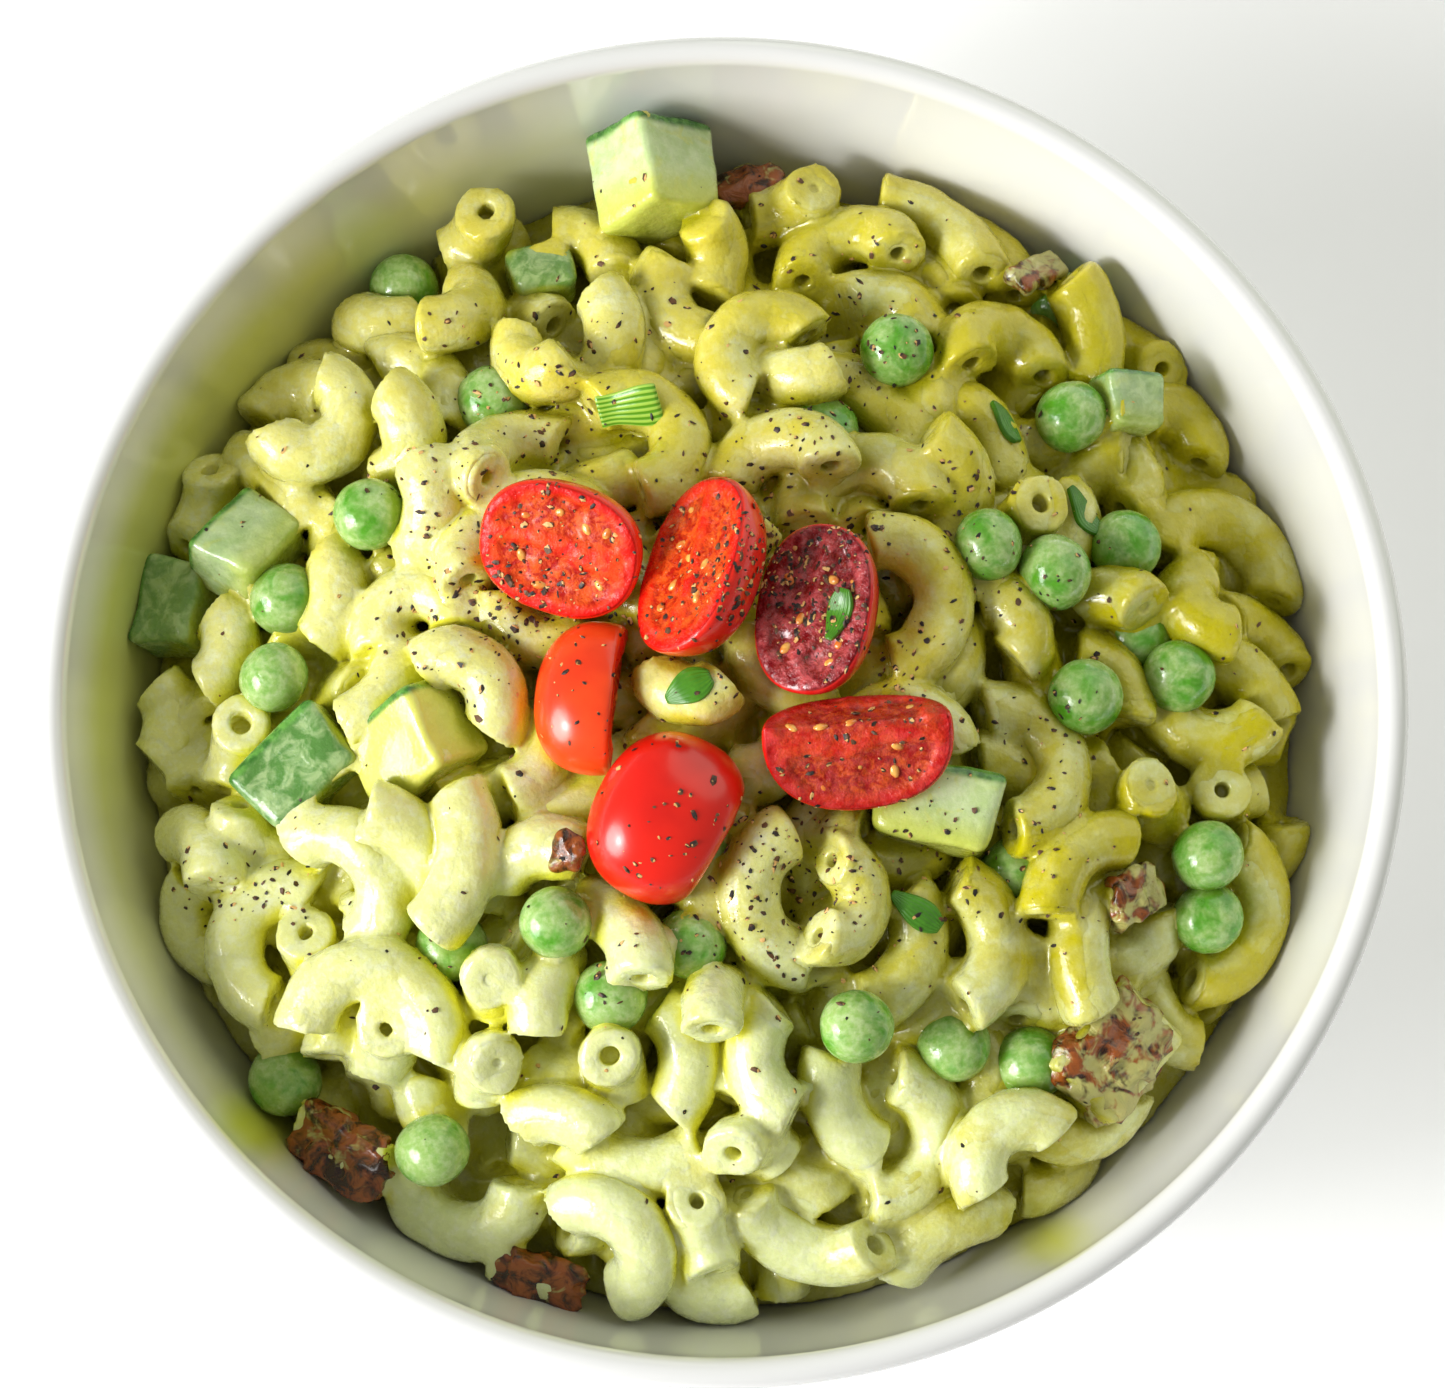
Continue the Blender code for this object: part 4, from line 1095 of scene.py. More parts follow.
def tomato_distance(tomato):
    """Distance to a cut tomato, nearly."""
    place, turn, axes, cut = tomato

    def distance(points):
        local = (points - place) @ turn
        return np.maximum(skin_depth(local, axes),
                          np.maximum(local[..., 2], local[..., 1] - cut))
    return distance


def skin_depth(local, axes):
    """How far points lie outside the skin of a blunt round body."""
    size = np.maximum(bluntness(local / axes), 1e-6)
    return (size - 1) * np.linalg.norm(local, axis=-1) / size


@functools.lru_cache(maxsize=1)
def salad_field():
    """The blended distance to all the food, and to what the dressing coats."""
    sizes = bpy.context.scene.salad_sizes
    step = sizes.dressing_step / MM
    low, high = FIELD_BOX
    field = Field(low, high, step, sizes.dressing_blend / MM)
    pieces, under, tomatoes = settled_salad()
    rng = random.Random(SHUT_SEED)
    hole = sizes.hole_radius / MM
    elbows = None
    for piece in sorted(pieces + under, key=lambda piece: piece.kind != "elbow"):
        if elbows is None and piece.kind != "elbow":
            elbows = field.total.copy()
        points = piece.world(piece.balls)
        margin = piece.radius + FIELD_REACH
        if piece.kind == "elbow":
            piece.closed = (rng.random() < CLOSED_SHARE, rng.random() < CLOSED_SHARE)
            distance = elbow_distance(piece, 0.0 if all(piece.closed) else hole)
        elif piece.kind == "pea":
            distance = ball_distance(piece)
        else:
            distance = block_distance(piece, BLOCK_CORNER[piece.kind])
        field.add(points.min(axis=0) - margin, points.max(axis=0) + margin, distance)
    body = elbows + (field.total - elbows) * math.exp(-BARE_STEP / field.blend)
    for tomato in tomatoes:
        place, size = tomato[0], tomato[2].max() + FIELD_REACH
        field.add(place - size, place + size, tomato_distance(tomato))
    grid = np.meshgrid(*field.axes, indexing="ij")
    core = grid[2] - core_height(grid[0], grid[1]) + CORE_DROP
    packed = np.exp(np.minimum(-core / field.blend, 40))
    everything = -field.blend * np.log(field.total + packed)
    dressed = -field.blend * np.log(body + packed)
    points = np.stack(grid, axis=-1)
    thick = np.clip(rough(points, 6.0, 8) + 0.4 * rough(points, 2.6, 9) - 0.12, 0, 0.6)
    dressed = dressed + DRESSING_SUNK - COAT_SHARE * coat(points) - POOL_SHARE * thick
    spread = np.hypot(grid[0], grid[1])
    wall = (spread - wall_radius(grid[2])) * 0.8 + GAP
    dressed = np.maximum(dressed, wall)
    for tomato in tomatoes:
        dressed = np.maximum(dressed, TOMATO_GAP - tomato_distance(tomato)(points))
    dressed[:, :, 0] = step
    return {"all": everything, "dressed": dressed, "low": np.array(low), "step": step}


class Socket:
    """A socket whose sums, differences and products add Math nodes."""

    def __init__(self, finish, socket):
        self.finish = finish
        self.socket = socket

    def maths(self, operation, first, second):
        node = self.finish.node("ShaderNodeMath", {"operation": operation},
                                {0: first, 1: second})
        return Socket(self.finish, node.outputs[0])

    def __add__(self, other):
        return self.maths("ADD", self, other)

    def __rsub__(self, other):
        return self.maths("SUBTRACT", other, self)

    def __mul__(self, other):
        return self.maths("MULTIPLY", self, other)


class Finish:
    """A material and short ways to add nodes to it."""

    def __init__(self, name, **constants):
        self.material = bpy.data.materials.new(name)
        self.material.use_nodes = True
        self.tree = self.material.node_tree
        self.tree.nodes.clear()
        self.shader = self.node("ShaderNodeBsdfPrincipled", {}, constants)
        self.node("ShaderNodeOutputMaterial", {}, {"Surface": self.shader.outputs[0]})
        self.place = self.node("ShaderNodeTexCoord").outputs["Object"]

    def node(self, kind, settings=None, sockets=None):
        """Add a node, make its settings, then give its sockets values or links."""
        node = self.tree.nodes.new(kind)
        for name, value in (settings or {}).items():
            setattr(node, name, value)
        for key, value in (sockets or {}).items():
            name = key.replace("_", " ") if isinstance(key, str) else key
            target = node.inputs[name]
            if isinstance(value, Socket):
                self.tree.links.new(value.socket, target)
            elif isinstance(value, bpy.types.NodeSocket):
                self.tree.links.new(value, target)
            else:
                target.default_value = value
        return node

    def noise(self, size, detail=2.0, roughness=0.5, distortion=0.0):
        """Cloudy values from 0 to 1 that change over a length in millimetres."""
        node = self.node("ShaderNodeTexNoise", {}, {
            "Vector": self.place, "Scale": 1 / (size * MM), "Detail": detail,
            "Roughness": roughness, "Distortion": distortion})
        return Socket(self, node.outputs["Fac"])

    def marked(self, name):
        """A value stored on the mesh."""
        node = self.node("ShaderNodeAttribute", {"attribute_name": name})
        return Socket(self, node.outputs["Fac"])

    def span(self, value, start, end, low=0.0, high=1.0):
        """A value taken from one range to another, held at its ends."""
        node = self.node("ShaderNodeMapRange", {"interpolation_type": "SMOOTHSTEP"}, {
            "Value": value, "From Min": start, "From Max": end, "To Min": low,
            "To Max": high})
        return Socket(self, node.outputs["Result"])

    def mix(self, factor, first, second):
        """Two colours blended."""
        first = (*first, 1.0) if isinstance(first, tuple) else first
        second = (*second, 1.0) if isinstance(second, tuple) else second
        node = self.node("ShaderNodeMix", {"data_type": "RGBA"},
                         {0: factor, 6: first, 7: second})
        return node.outputs[2]

    def bump(self, height, distance, strength):
        """Give the surface a relief, in millimetres."""
        node = self.node("ShaderNodeBump", {}, {
            "Height": height, "Distance": distance * MM, "Strength": strength})
        self.tree.links.new(node.outputs["Normal"], self.shader.inputs["Normal"])

    def set(self, name, value):
        """Link a value or a colour to the shader."""
        socket = value.socket if isinstance(value, Socket) else value
        self.tree.links.new(socket, self.shader.inputs[name])


def colour(name):
    """One of the colours a user may change."""
    return tuple(getattr(bpy.context.scene.salad_colours, name))


def shade(rgb, factor):
    """A colour made darker or lighter."""
    return tuple(min(channel * factor, 1.0) for channel in rgb)


@functools.lru_cache(maxsize=None)
def glaze_finish():
    """Smooth white glaze with a faint waviness, with a dressing film and painted yellow shade of
    bounced light on the inner wall.
    """
    finish = Finish("white_glaze", Roughness=0.12, Coat_Weight=0.5, Coat_Roughness=0.05,
                    IOR=1.52)
    drift = finish.noise(22, 3)
    clean = finish.mix(drift, shade(colour("glaze"), 0.985), colour("glaze"))
    # The film tint is dressing, and on the left it is painted shade of bounced light
    film = finish.span(finish.marked("film") + finish.noise(7.0, 3, 0.6) * 0.12, 0.06, 1.06)
    finish.set("Base Color", finish.mix(film, clean, FILM_AND_PAINTED_SHADE_TINT))
    finish.set("Roughness", finish.span(finish.noise(9, 2), 0.3, 0.7, 0.10, 0.17))
    finish.bump(finish.noise(14, 2), 0.04, 0.5)
    return finish.material


@functools.lru_cache(maxsize=None)
def dressed_finish():
    """Creamy green-yellow dressing over macaroni, wet and a little uneven, with painted shade in
    its creases and deep in the heap, and painted light on the lit side.
    """
    finish = Finish("dressed_pasta", Roughness=0.3, Coat_Weight=0.5, Coat_Roughness=0.08,
                    IOR=1.45, Specular_Tint=(1.0, 1.0, 0.8, 1.0), Subsurface_Weight=0.3,
                    Subsurface_Scale=1.6 * MM, Subsurface_Radius=(1.0, 0.9, 0.15))
    patches = finish.noise(5.0, 3, 0.55, 0.5) + finish.marked("tint") * 0.2
    thick = finish.span(finish.marked("cream") + patches, 0.55, 1.35)
    base = finish.mix(thick, colour("pasta"), colour("dressing"))
    base = finish.mix(finish.marked("warm") * 0.6, base, WARM_TINT)
    # Pale cream streaks over thick dressing, partly painted highlight
    streaks_and_highlights = finish.span(finish.noise(1.4, 3, 0.6), 0.42, 0.72)
    base = finish.mix(streaks_and_highlights * (thick * 0.5 + 0.05), base, CREAM_AND_HIGHLIGHT_TINT)
    # Painted shade: creases turn to a dark crevice colour, lighter where the cream share is high
    crease_shade = finish.span(finish.marked("open"), 0.05, 0.80, 1.0, 0.0)
    crease_shade_tint = finish.mix(finish.span(finish.marked("cream"), 0.35, 0.85), colour("crevice_shade"),
                       LIT_SIDE_CREASE_SHADE)
    base = finish.mix(crease_shade * 0.9, base, crease_shade_tint)
    # Painted shade: deeper under the heap's top, the colour turns to the dark crevice colour
    base = finish.mix(finish.span(finish.marked("under"), 0.3, 0.9, 0.0, 0.7), base,
                      colour("crevice_shade"))
    finish.set("Base Color", base)
    broken = finish.span(finish.noise(1.1, 3, 0.6), 0.38, 0.68, 0.12, 0.45)
    finish.set("Roughness", broken)
    fine = finish.noise(0.55, 3, 0.6) * 0.4 + finish.noise(1.9, 2)
    finish.bump(fine, 0.36, 0.6)
    return finish.material


@functools.lru_cache(maxsize=None)
def pea_finish():
    """Green pea under a thin uneven film of dressing, with painted shade in its creases."""
    finish = Finish("coated_pea", Roughness=0.22, Coat_Weight=0.4, Coat_Roughness=0.08,
                    IOR=1.45, Subsurface_Weight=0.15, Subsurface_Scale=1.2 * MM,
                    Subsurface_Radius=(0.5, 1.0, 0.2))
    # The film gathers where the cream share is high, partly painted light on the lit side
    film = finish.span(finish.noise(3.6, 3, 0.6, 0.4) + finish.marked("cream") * 0.12, 0.35, 0.68)
    speckle = finish.span(finish.noise(0.8, 3, 0.6), 0.35, 0.7)
    bare = finish.mix(speckle * 0.5, colour("pea"), shade(colour("pea"), 1.5))
    coated = finish.mix(speckle * 0.6, *PEA_COAT)
    base = finish.mix(film, bare, coated)
    # Painted shade: the creases turn darker
    crease_shade = finish.span(finish.marked("open"), 0.05, 0.6, 1.0, 0.0)
    finish.set("Base Color", finish.mix(crease_shade * 0.6, base, PEA_CREASE_SHADE))
    finish.set("Roughness", finish.span(finish.noise(1.0, 2), 0.35, 0.7, 0.12, 0.34))
    finish.bump(film * 0.6 + finish.noise(0.8, 2) * 0.4, 0.16, 0.7)
    return finish.material


@functools.lru_cache(maxsize=None)
def cucumber_finish():
    """Wet cucumber flesh with a yellower seed zone and dark skin, some of it well coated, and
    painted shade in the creases.
    """
    finish = Finish("cucumber", Roughness=0.2, Coat_Weight=0.4, Coat_Roughness=0.08,
                    IOR=1.42, Subsurface_Weight=0.35, Subsurface_Scale=2.4 * MM,
                    Subsurface_Radius=(0.8, 1.0, 0.5))
    skin = finish.marked("skin")
    green = finish.marked("green")
    flesh = finish.mix(finish.span(finish.noise(2.6, 3, 0.6), 0.3, 0.7),
                       colour("cucumber"), CUCUMBER_PALE)
    flesh = finish.mix(finish.span(skin, 0.55, 0.05), flesh, CUCUMBER_CORE)
    seeds = finish.span(finish.noise(3.0, 2, 0.5, 1.0), 0.55, 0.68)
    flesh = finish.mix(seeds * 0.5, flesh, CUCUMBER_SEED)
    deep = finish.mix(finish.span(finish.noise(2.2, 3, 0.6, 0.6), 0.38, 0.66), *CUCUMBER_DEEP)
    flesh = finish.mix(finish.span(green, -0.2, -1.0), flesh, CUCUMBER_YELLOW)
    flesh = finish.mix(green, flesh, deep)
    rind = finish.mix(finish.span(finish.noise(1.2, 3), 0.35, 0.65), *CUCUMBER_RIND)
    base = finish.mix(finish.span(skin, 0.84, 0.93), flesh, rind)
    # Painted shade: the creases turn darker
    crease_shade = finish.span(finish.marked("open"), 0.05, 0.6, 1.0, 0.0)
    finish.set("Base Color", finish.mix(crease_shade * 0.7, base, CUCUMBER_CREASE_SHADE))
    finish.set("Roughness", finish.span(finish.noise(0.8, 2), 0.3, 0.7, 0.12, 0.34))
    finish.bump(finish.noise(0.9, 3, 0.6) + finish.noise(2.8, 2), 0.2, 0.6)
    return finish.material


@functools.lru_cache(maxsize=None)
def dried_finish():
    """Red-brown leathery tomato, glossy, with dressing caught in its folds."""
    finish = Finish("dried_tomato", Roughness=0.25, Coat_Weight=0.4, Coat_Roughness=0.12,
                    IOR=1.45)
    folds = finish.noise(2.2, 4, 0.6, 0.8)
    base = finish.mix(finish.span(folds, 0.36, 0.60), shade(colour("dried"), 0.16),
                      shade(colour("dried"), 1.6))
    smear = finish.span(finish.noise(3.2, 3, 0.6, 0.5) + finish.marked("pale") * 0.14, 0.56, 0.70)
    finish.set("Base Color", finish.mix(smear * 0.9, base, DRIED_SMEAR))
    finish.bump(folds + finish.noise(0.7, 3) * 0.25, 0.6, 0.8)
    return finish.material


@functools.lru_cache(maxsize=None)
def scallion_finish():
    """Thin green leaf with pale lengthwise stripes."""
    finish = Finish("scallion", Roughness=0.25, Coat_Weight=0.3, Coat_Roughness=0.1, IOR=1.42)
    across = finish.marked("across")
    stripe = finish.node("ShaderNodeTexWave", {"bands_direction": "X"}, {
        "Vector": finish.node("ShaderNodeCombineXYZ", {}, {0: across}).outputs[0],
        "Scale": 1.1, "Distortion": 0.6, "Detail": 1.0})
    bands = Socket(finish, stripe.outputs["Fac"])
    base = finish.mix(finish.span(bands, 0.2, 0.8), *LEAF_STRIPES)
    dark = finish.mix(finish.noise(1.4, 3, 0.6), *LEAF_DARK)
    finish.set("Base Color", finish.mix(finish.marked("dark"), base, dark))
    finish.bump(bands + finish.noise(0.8, 2) * 0.5, 0.12, 0.5)
    return finish.material


@functools.lru_cache(maxsize=None)
def tomato_finish():
    """Cherry tomato: glossy skin outside, then flesh and wet pulp where it is cut."""
    finish = Finish("cherry_tomato", Roughness=0.2, Coat_Roughness=0.27, IOR=1.42,
                    Specular_IOR_Level=0.25, Subsurface_Weight=0.2,
                    Subsurface_Scale=1.5 * MM, Subsurface_Radius=(1.0, 0.2, 0.08))
    deep = finish.marked("deep")
    dark = finish.marked("dark")
    cut = finish.span(deep, 0.25, 0.55)
    skin = finish.mix(finish.marked("orange"), colour("tomato"), SKIN_ORANGE)
    skin = finish.mix(finish.span(finish.noise(7, 2), 0.4, 0.7) * 0.4, skin, SKIN_DEEP)
    flesh = finish.mix(finish.span(finish.noise(1.8, 4, 0.65, 0.6), 0.35, 0.62), *FLESH)
    flesh = finish.mix(finish.span(deep, 0.5, 2.2), FLESH_EDGE, flesh)
    jelly = finish.mix(finish.span(finish.noise(1.2, 4, 0.65, 0.8), 0.35, 0.68), *JELLY)
    inner = finish.mix(finish.marked("pulp"), flesh, jelly)
    base = finish.mix(cut, skin, inner)
    crimson = finish.mix(finish.span(finish.noise(1.5, 4, 0.65), 0.38, 0.66), *CRIMSON)
    finish.set("Base Color", finish.mix(dark * (cut * 0.75 + 0.2), base, crimson))
    wet = finish.noise(0.9, 3, 0.6)
    dry = finish.span(wet * cut, 0.25, 0.65, 0.18, 0.6)
    finish.set("Roughness", dry * (1 - finish.marked("wet") * 0.75))
    gloss = finish.span(wet, 0.40, 0.54, 0.3, 0.02)
    glints = finish.span(wet, 0.42, 0.50, 1.0, 0.0) * finish.marked("wet")
    finish.set("Coat Weight", (gloss + glints) * cut + (1 - cut) * 0.8)
    rough = finish.noise(1.1, 3, 0.6) * cut * (finish.marked("wet") * 0.8 + 1)
    finish.bump(rough + finish.noise(3.0, 2) * 0.05, 0.4, 0.8)
    return finish.material


@functools.lru_cache(maxsize=None)
def seed_finish():
    """Slippery orange seed."""
    finish = Finish("tomato_seed", Roughness=0.2, Coat_Weight=0.4, Coat_Roughness=0.08)
    tints = finish.mix(finish.span(finish.noise(1.2, 2), 0.35, 0.65), *PIP_TINTS)
    finish.set("Base Color", tints)
    finish.bump(finish.noise(0.4, 2), 0.06, 0.6)
    return finish.material


@functools.lru_cache(maxsize=None)
def pepper_finish():
    """Ground pepper: nearly black husk, brown bits and some pale gold inside."""
    finish = Finish("ground_pepper", Roughness=0.55)
    husk = finish.mix(finish.span(finish.noise(1.1, 2), 0.4, 0.62), *PEPPER_HUSK)
    pale = finish.span(finish.noise(0.9, 1, 0.5, 0.3), 0.56, 0.60)
    finish.set("Base Color", finish.mix(pale, husk, PEPPER_PALE))
    finish.bump(finish.noise(0.25, 2), 0.05, 0.7)
    return finish.material


@functools.lru_cache(maxsize=None)
def floor_finish():
    """Plain pale floor."""
    finish = Finish("pale_floor", Roughness=0.6, Emission_Color=(1.0, 1.0, 1.0, 1.0),
                    Emission_Strength=FLOOR_GLOW)
    finish.set("Base Color", finish.mix(finish.noise(60, 2), *FLOOR_TINTS))
    return finish.material


def turned_shape(profile, sides):
    """Points and faces turned about the Z axis from a profile that starts and ends on it."""
    points = [(0.0, 0.0, profile[0][1])]
    for radius, height in profile[1:-1]:
        for i in range(sides):
            angle = 2 * math.pi * i / sides
            points.append((radius * math.cos(angle), radius * math.sin(angle), height))
    points.append((0.0, 0.0, profile[-1][1]))
    last = len(points) - 1
    faces = []
    for i in range(sides):
        after = (i + 1) % sides
        faces.append((0, 1 + after, 1 + i))
        for row in range(len(profile) - 3):
            low = 1 + row * sides
            high = low + sides
            faces.append((low + i, low + after, high + after, high + i))
        top = 1 + (len(profile) - 3) * sides
        faces.append((top + i, top + after, last))
    return np.array(points), faces


def arc(centre, radius, start, end, steps):
    """Profile points round a quarter or half turn."""
    return [(centre[0] + radius * math.cos(math.radians(start + (end - start) * i / steps)),
             centre[1] + radius * math.sin(math.radians(start + (end - start) * i / steps)))
            for i in range(steps + 1)]


class SALAD_OT_bowl(bpy.types.Operator):
    """Build the glazed bowl with its foot ring and rounded lip"""

    bl_idname = "salad.bowl"
    bl_label = "Bowl"

    def execute(self, context):
        profile = [(0.0, FOOT_DEPTH), (FOOT_INNER - 3, FOOT_DEPTH)]
        profile += arc((FOOT_INNER - 1.2, FOOT_DEPTH - 0.9), 0.9, 90, 20, 4)
        profile += arc((FOOT_INNER + 1.0, 0.8), 0.8, 200, 270, 4)
        profile += arc((FOOT_OUTER - 1.0, 1.0), 1.0, 270, 360, 4)
        profile += [(FOOT_OUTER + 0.4, 2.6), (FOOT_OUTER + 1.0, 3.4)]
        rim = BOWL_HEIGHT - LIP_RADIUS
        profile += wall_row(26, SHOULDER_HEIGHT, rim, outer=True)
        profile += arc((RIM_RADIUS - LIP_RADIUS, rim), LIP_RADIUS, 0, 180, 12)[1:-1]
        profile += wall_row(30, FLOOR_HEIGHT, rim)[::-1]
        profile.append((0.0, FLOOR_HEIGHT))
        points, faces = turned_shape(profile, BOWL_SIDES)
        bowl = make_piece("glazed_bowl", points, outward(points, faces), glaze_finish())
        mark(bowl, "film", wall_film_and_painted_shade(points))
        finish_piece(bowl, "white_glaze", "bowl")
        return {"FINISHED"}


def wall_film_and_painted_shade(points):
    """How much dressing film and painted shade of bounced light the bowl's inner wall carries, 0
    to 1, the painted shade mostly on the shaded left.
    """
    spread = np.hypot(points[:, 0], points[:, 1])
    inside = spread < wall_radius(points[:, 2]) + 0.5
    # Painted shade: the shaded left wall is tinted as if lit by light bounced off the salad
    left = (0.35 * points[:, 1] - 0.94 * points[:, 0]) / np.maximum(spread, 1e-6)
    left = np.clip(left, 0, 1) ** 1.5
    line = FOOD_LINE - HEAP_LEAN * points[:, 1]
    low = np.clip(1.25 - (points[:, 2] - line) / FILM_REACH, 0, 1)
    film = low * (FILM_ROUND + PAINTED_LEFT_SHADE * left)
    for x, y in SMEARS:
        film = film + 0.8 * np.exp(-((points[:, 0] - x) ** 2 + (points[:, 1] - y) ** 2) / 22)
    return np.where(inside, np.clip(film, 0, 1), 0.0)


def seal_base(points, quads, height):
    """Swap the flat underside for a fan of long triangles round one middle point."""
    flat = (points[quads][:, :, 2] < height).all(axis=1)
    kept = quads[~flat]
    edges = np.concatenate([kept[:, [i, (i + 1) % 4]] for i in range(4)])
    size = len(points)
    forward = edges[:, 0] * size + edges[:, 1]
    backward = edges[:, 1] * size + edges[:, 0]
    rim = edges[~np.isin(forward, backward)]
    middle = np.array([[0.0, 0.0, points[rim.ravel(), 2].min()]])
    fans = [(int(b), int(a), size) for a, b in rim]
    faces = [tuple(face) for face in kept.tolist()] + fans
    return drop_loose(np.concatenate((points, middle)), faces)


def drop_loose(points, faces):
    """Leave out the points that no face uses."""
    used = np.zeros(len(points), dtype=bool)
    for face in faces:
        used[list(face)] = True
    index = np.cumsum(used) - 1
    return points[used], [tuple(int(index[i]) for i in face) for face in faces]


class SALAD_OT_dressing(bpy.types.Operator):
    """Build the dressing that fills the gaps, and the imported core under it"""

    bl_idname = "salad.dressing"
    bl_label = "Dressing and core"

    def execute(self, context):
        field = salad_field()
        points, quads = surface_net(field["dressed"], field["low"], field["step"])
        points, faces = seal_base(points, quads, field["low"][2] + 1.4 * field["step"])
        dressing = make_piece("dressing", points, faces, dressed_finish())
        thin = dressing.modifiers.new("thin_out", "DECIMATE")
        triangles = sum(len(face) - 2 for face in faces)
        thin.ratio = min(1.0, MOST_TRIANGLES / triangles)
        graph = context.evaluated_depsgraph_get()
        dressing.data = bpy.data.meshes.new_from_object(dressing.evaluated_get(graph))
        dressing.modifiers.clear()
        mark_open(dressing)
        finish_piece(dressing, "dressed_pasta", "salad_heap")
        aside, over = CORE_ROOM
        wall = [(radius - aside, height + over)
                for radius, height in wall_row(14, FLOOR_HEIGHT, CORE_TOP)]
        top = CORE_TOP + aside
        profile = [(0.0, FLOOR_HEIGHT + over)] + wall
        profile += [(wall[-1][0] * part, top) for part in (0.98, 0.6, 0.3)] + [(0.0, top)]
        points, faces = turned_shape(profile, CORE_SIDES)
        core = make_piece("salad_core", points, outward(points, faces), dressed_finish())
        mark_open(core)
        finish_piece(core, "dressed_pasta", "salad_heap")
        return {"FINISHED"}


@functools.lru_cache(maxsize=None)
def tube_faces(count, sides):
    """Faces over a row of rings, closed by a fan round one more point at each end."""
    faces = []
    for row in range(count - 1):
        for i in range(sides):
            after = (i + 1) % sides
            low, high = row * sides, (row + 1) * sides
            faces.append((low + i, low + after, high + after, high + i))
    first, last = count * sides, count * sides + 1
    for i in range(sides):
        after = (i + 1) % sides
        faces.append((first, after, i))
        faces.append((last, (count - 1) * sides + i, (count - 1) * sides + after))
    return faces


def elbow_shape(piece, rng, sides):
    """One macaroni: a bent tube with rounded, slightly slanted and pinched open ends."""
    sweep, bend = piece.size
    half = math.radians(sweep) / 2
    radius = piece.radius * TUBE_DRAWN
    hole = bpy.context.scene.salad_sizes.hole_radius / MM * rng.uniform(0.8, 1.15)
    steps = max(7, round(2 * half * bend / RING_STEP[sides]))
    rings = []
    for side in (-1, 1):
        slant = rng.uniform(0.0, 0.55)
        slant_way = rng.uniform(0, 2 * math.pi)
        closed = piece.closed[side > 0]
        depth = SHUT_DEPTH if closed else HOLE_DEPTH
        bore = hole * (SHUT_BORE if closed else 1.0)
        end = [
            (depth, bore * 0.55), (depth, bore * 0.95), (0.35, bore), (0.06, bore + 0.22),
            (0.0, bore + 0.55), (0.0, radius - 0.85), (0.12, radius - 0.40), (0.42, radius - 0.12),
            (0.95, radius),
        ]
        made = [(side * (half - along / bend), size, slant, slant_way) for along, size in end]
        rings.append(made if side < 0 else made[::-1])
    body = [(half * (2 * i / steps - 1) * (1 - END_RUN / (half * bend)), radius, 0.0, 0.0)
            for i in range(1, steps)]
    squash = rng.uniform(0.0, 0.08)
    squash_way = rng.uniform(0, math.pi)
    wave = rng.uniform(0, 2 * math.pi)
    pinch = [rng.choice((0.0, 0.0, 0.05, 0.12)) for _ in range(2)]
    around = np.arange(sides) * 2 * math.pi / sides
    points = []
    for angle, size, slant, slant_way in rings[0] + body + rings[1]:
        along = abs(angle) / half
        narrow = pinch[angle > 0] * along**3 + 0.025 * math.sin(5 * angle + wave)
        reach = size * (1 - narrow + squash * np.cos(2 * (around - squash_way)))
        shift = slant * np.cos(around - slant_way) * (size / radius) / bend
        turn = angle - math.copysign(1, angle) * shift
        wide = bend + reach * np.cos(around)
        points.append(np.stack((bend - wide * np.cos(turn), wide * np.sin(turn),
                                reach * np.sin(around)), axis=1))
    count = len(points)
    points = piece.world(np.concatenate(points))
    middle = [points[:sides].mean(axis=0), points[-sides:].mean(axis=0)]
    faces = tube_faces(count, sides)
    points = np.concatenate((points, middle))
    centre = piece.world(bend_points(sweep, bend, 40))
    near = np.argmin(((points[:, None, :] - centre[None]) ** 2).sum(axis=2), axis=1)
    away = points - centre[near]
    length = np.maximum(np.linalg.norm(away, axis=1), 1e-6)
    amount = np.clip(length / radius, 0, 1) ** 2
    points = points + away / length[:, None] * (coat(points) * amount)[:, None]
    return points, outward(points, faces)


class SALAD_OT_macaroni(bpy.types.Operator):
    """Build the macaroni, those on top and those seen through the gaps"""

    bl_idname = "salad.macaroni"
    bl_label = "Macaroni"

    def execute(self, context):
        salad_field()
        rng = random.Random(SHAPE_SEED)
        top = [elbow_shape(piece, rng, TOP_SIDES) for piece in pieces_of("elbow")]
        low = [elbow_shape(piece, rng, LOW_SIDES) for piece in settled_salad()[1]]
        half = len(low) // 2
        for name, shapes in (("macaroni_top", top), ("macaroni_under", low[:half]),
                             ("macaroni_deep", low[half:])):
            tints = [rng.uniform(0, 1) for _ in shapes]
            mark_open(heap_piece(name, shapes, dressed_finish(), tint=tints))
        return {"FINISHED"}


def ball_shape(rounds):
    """Points and faces of a fine round ball."""
    bm = bmesh.new()
    bmesh.ops.create_icosphere(bm, subdivisions=rounds, radius=1.0)
    points = np.array([v.co for v in bm.verts])
    faces = [tuple(v.index for v in face.verts) for face in bm.faces]
    bm.free()
    return points, faces


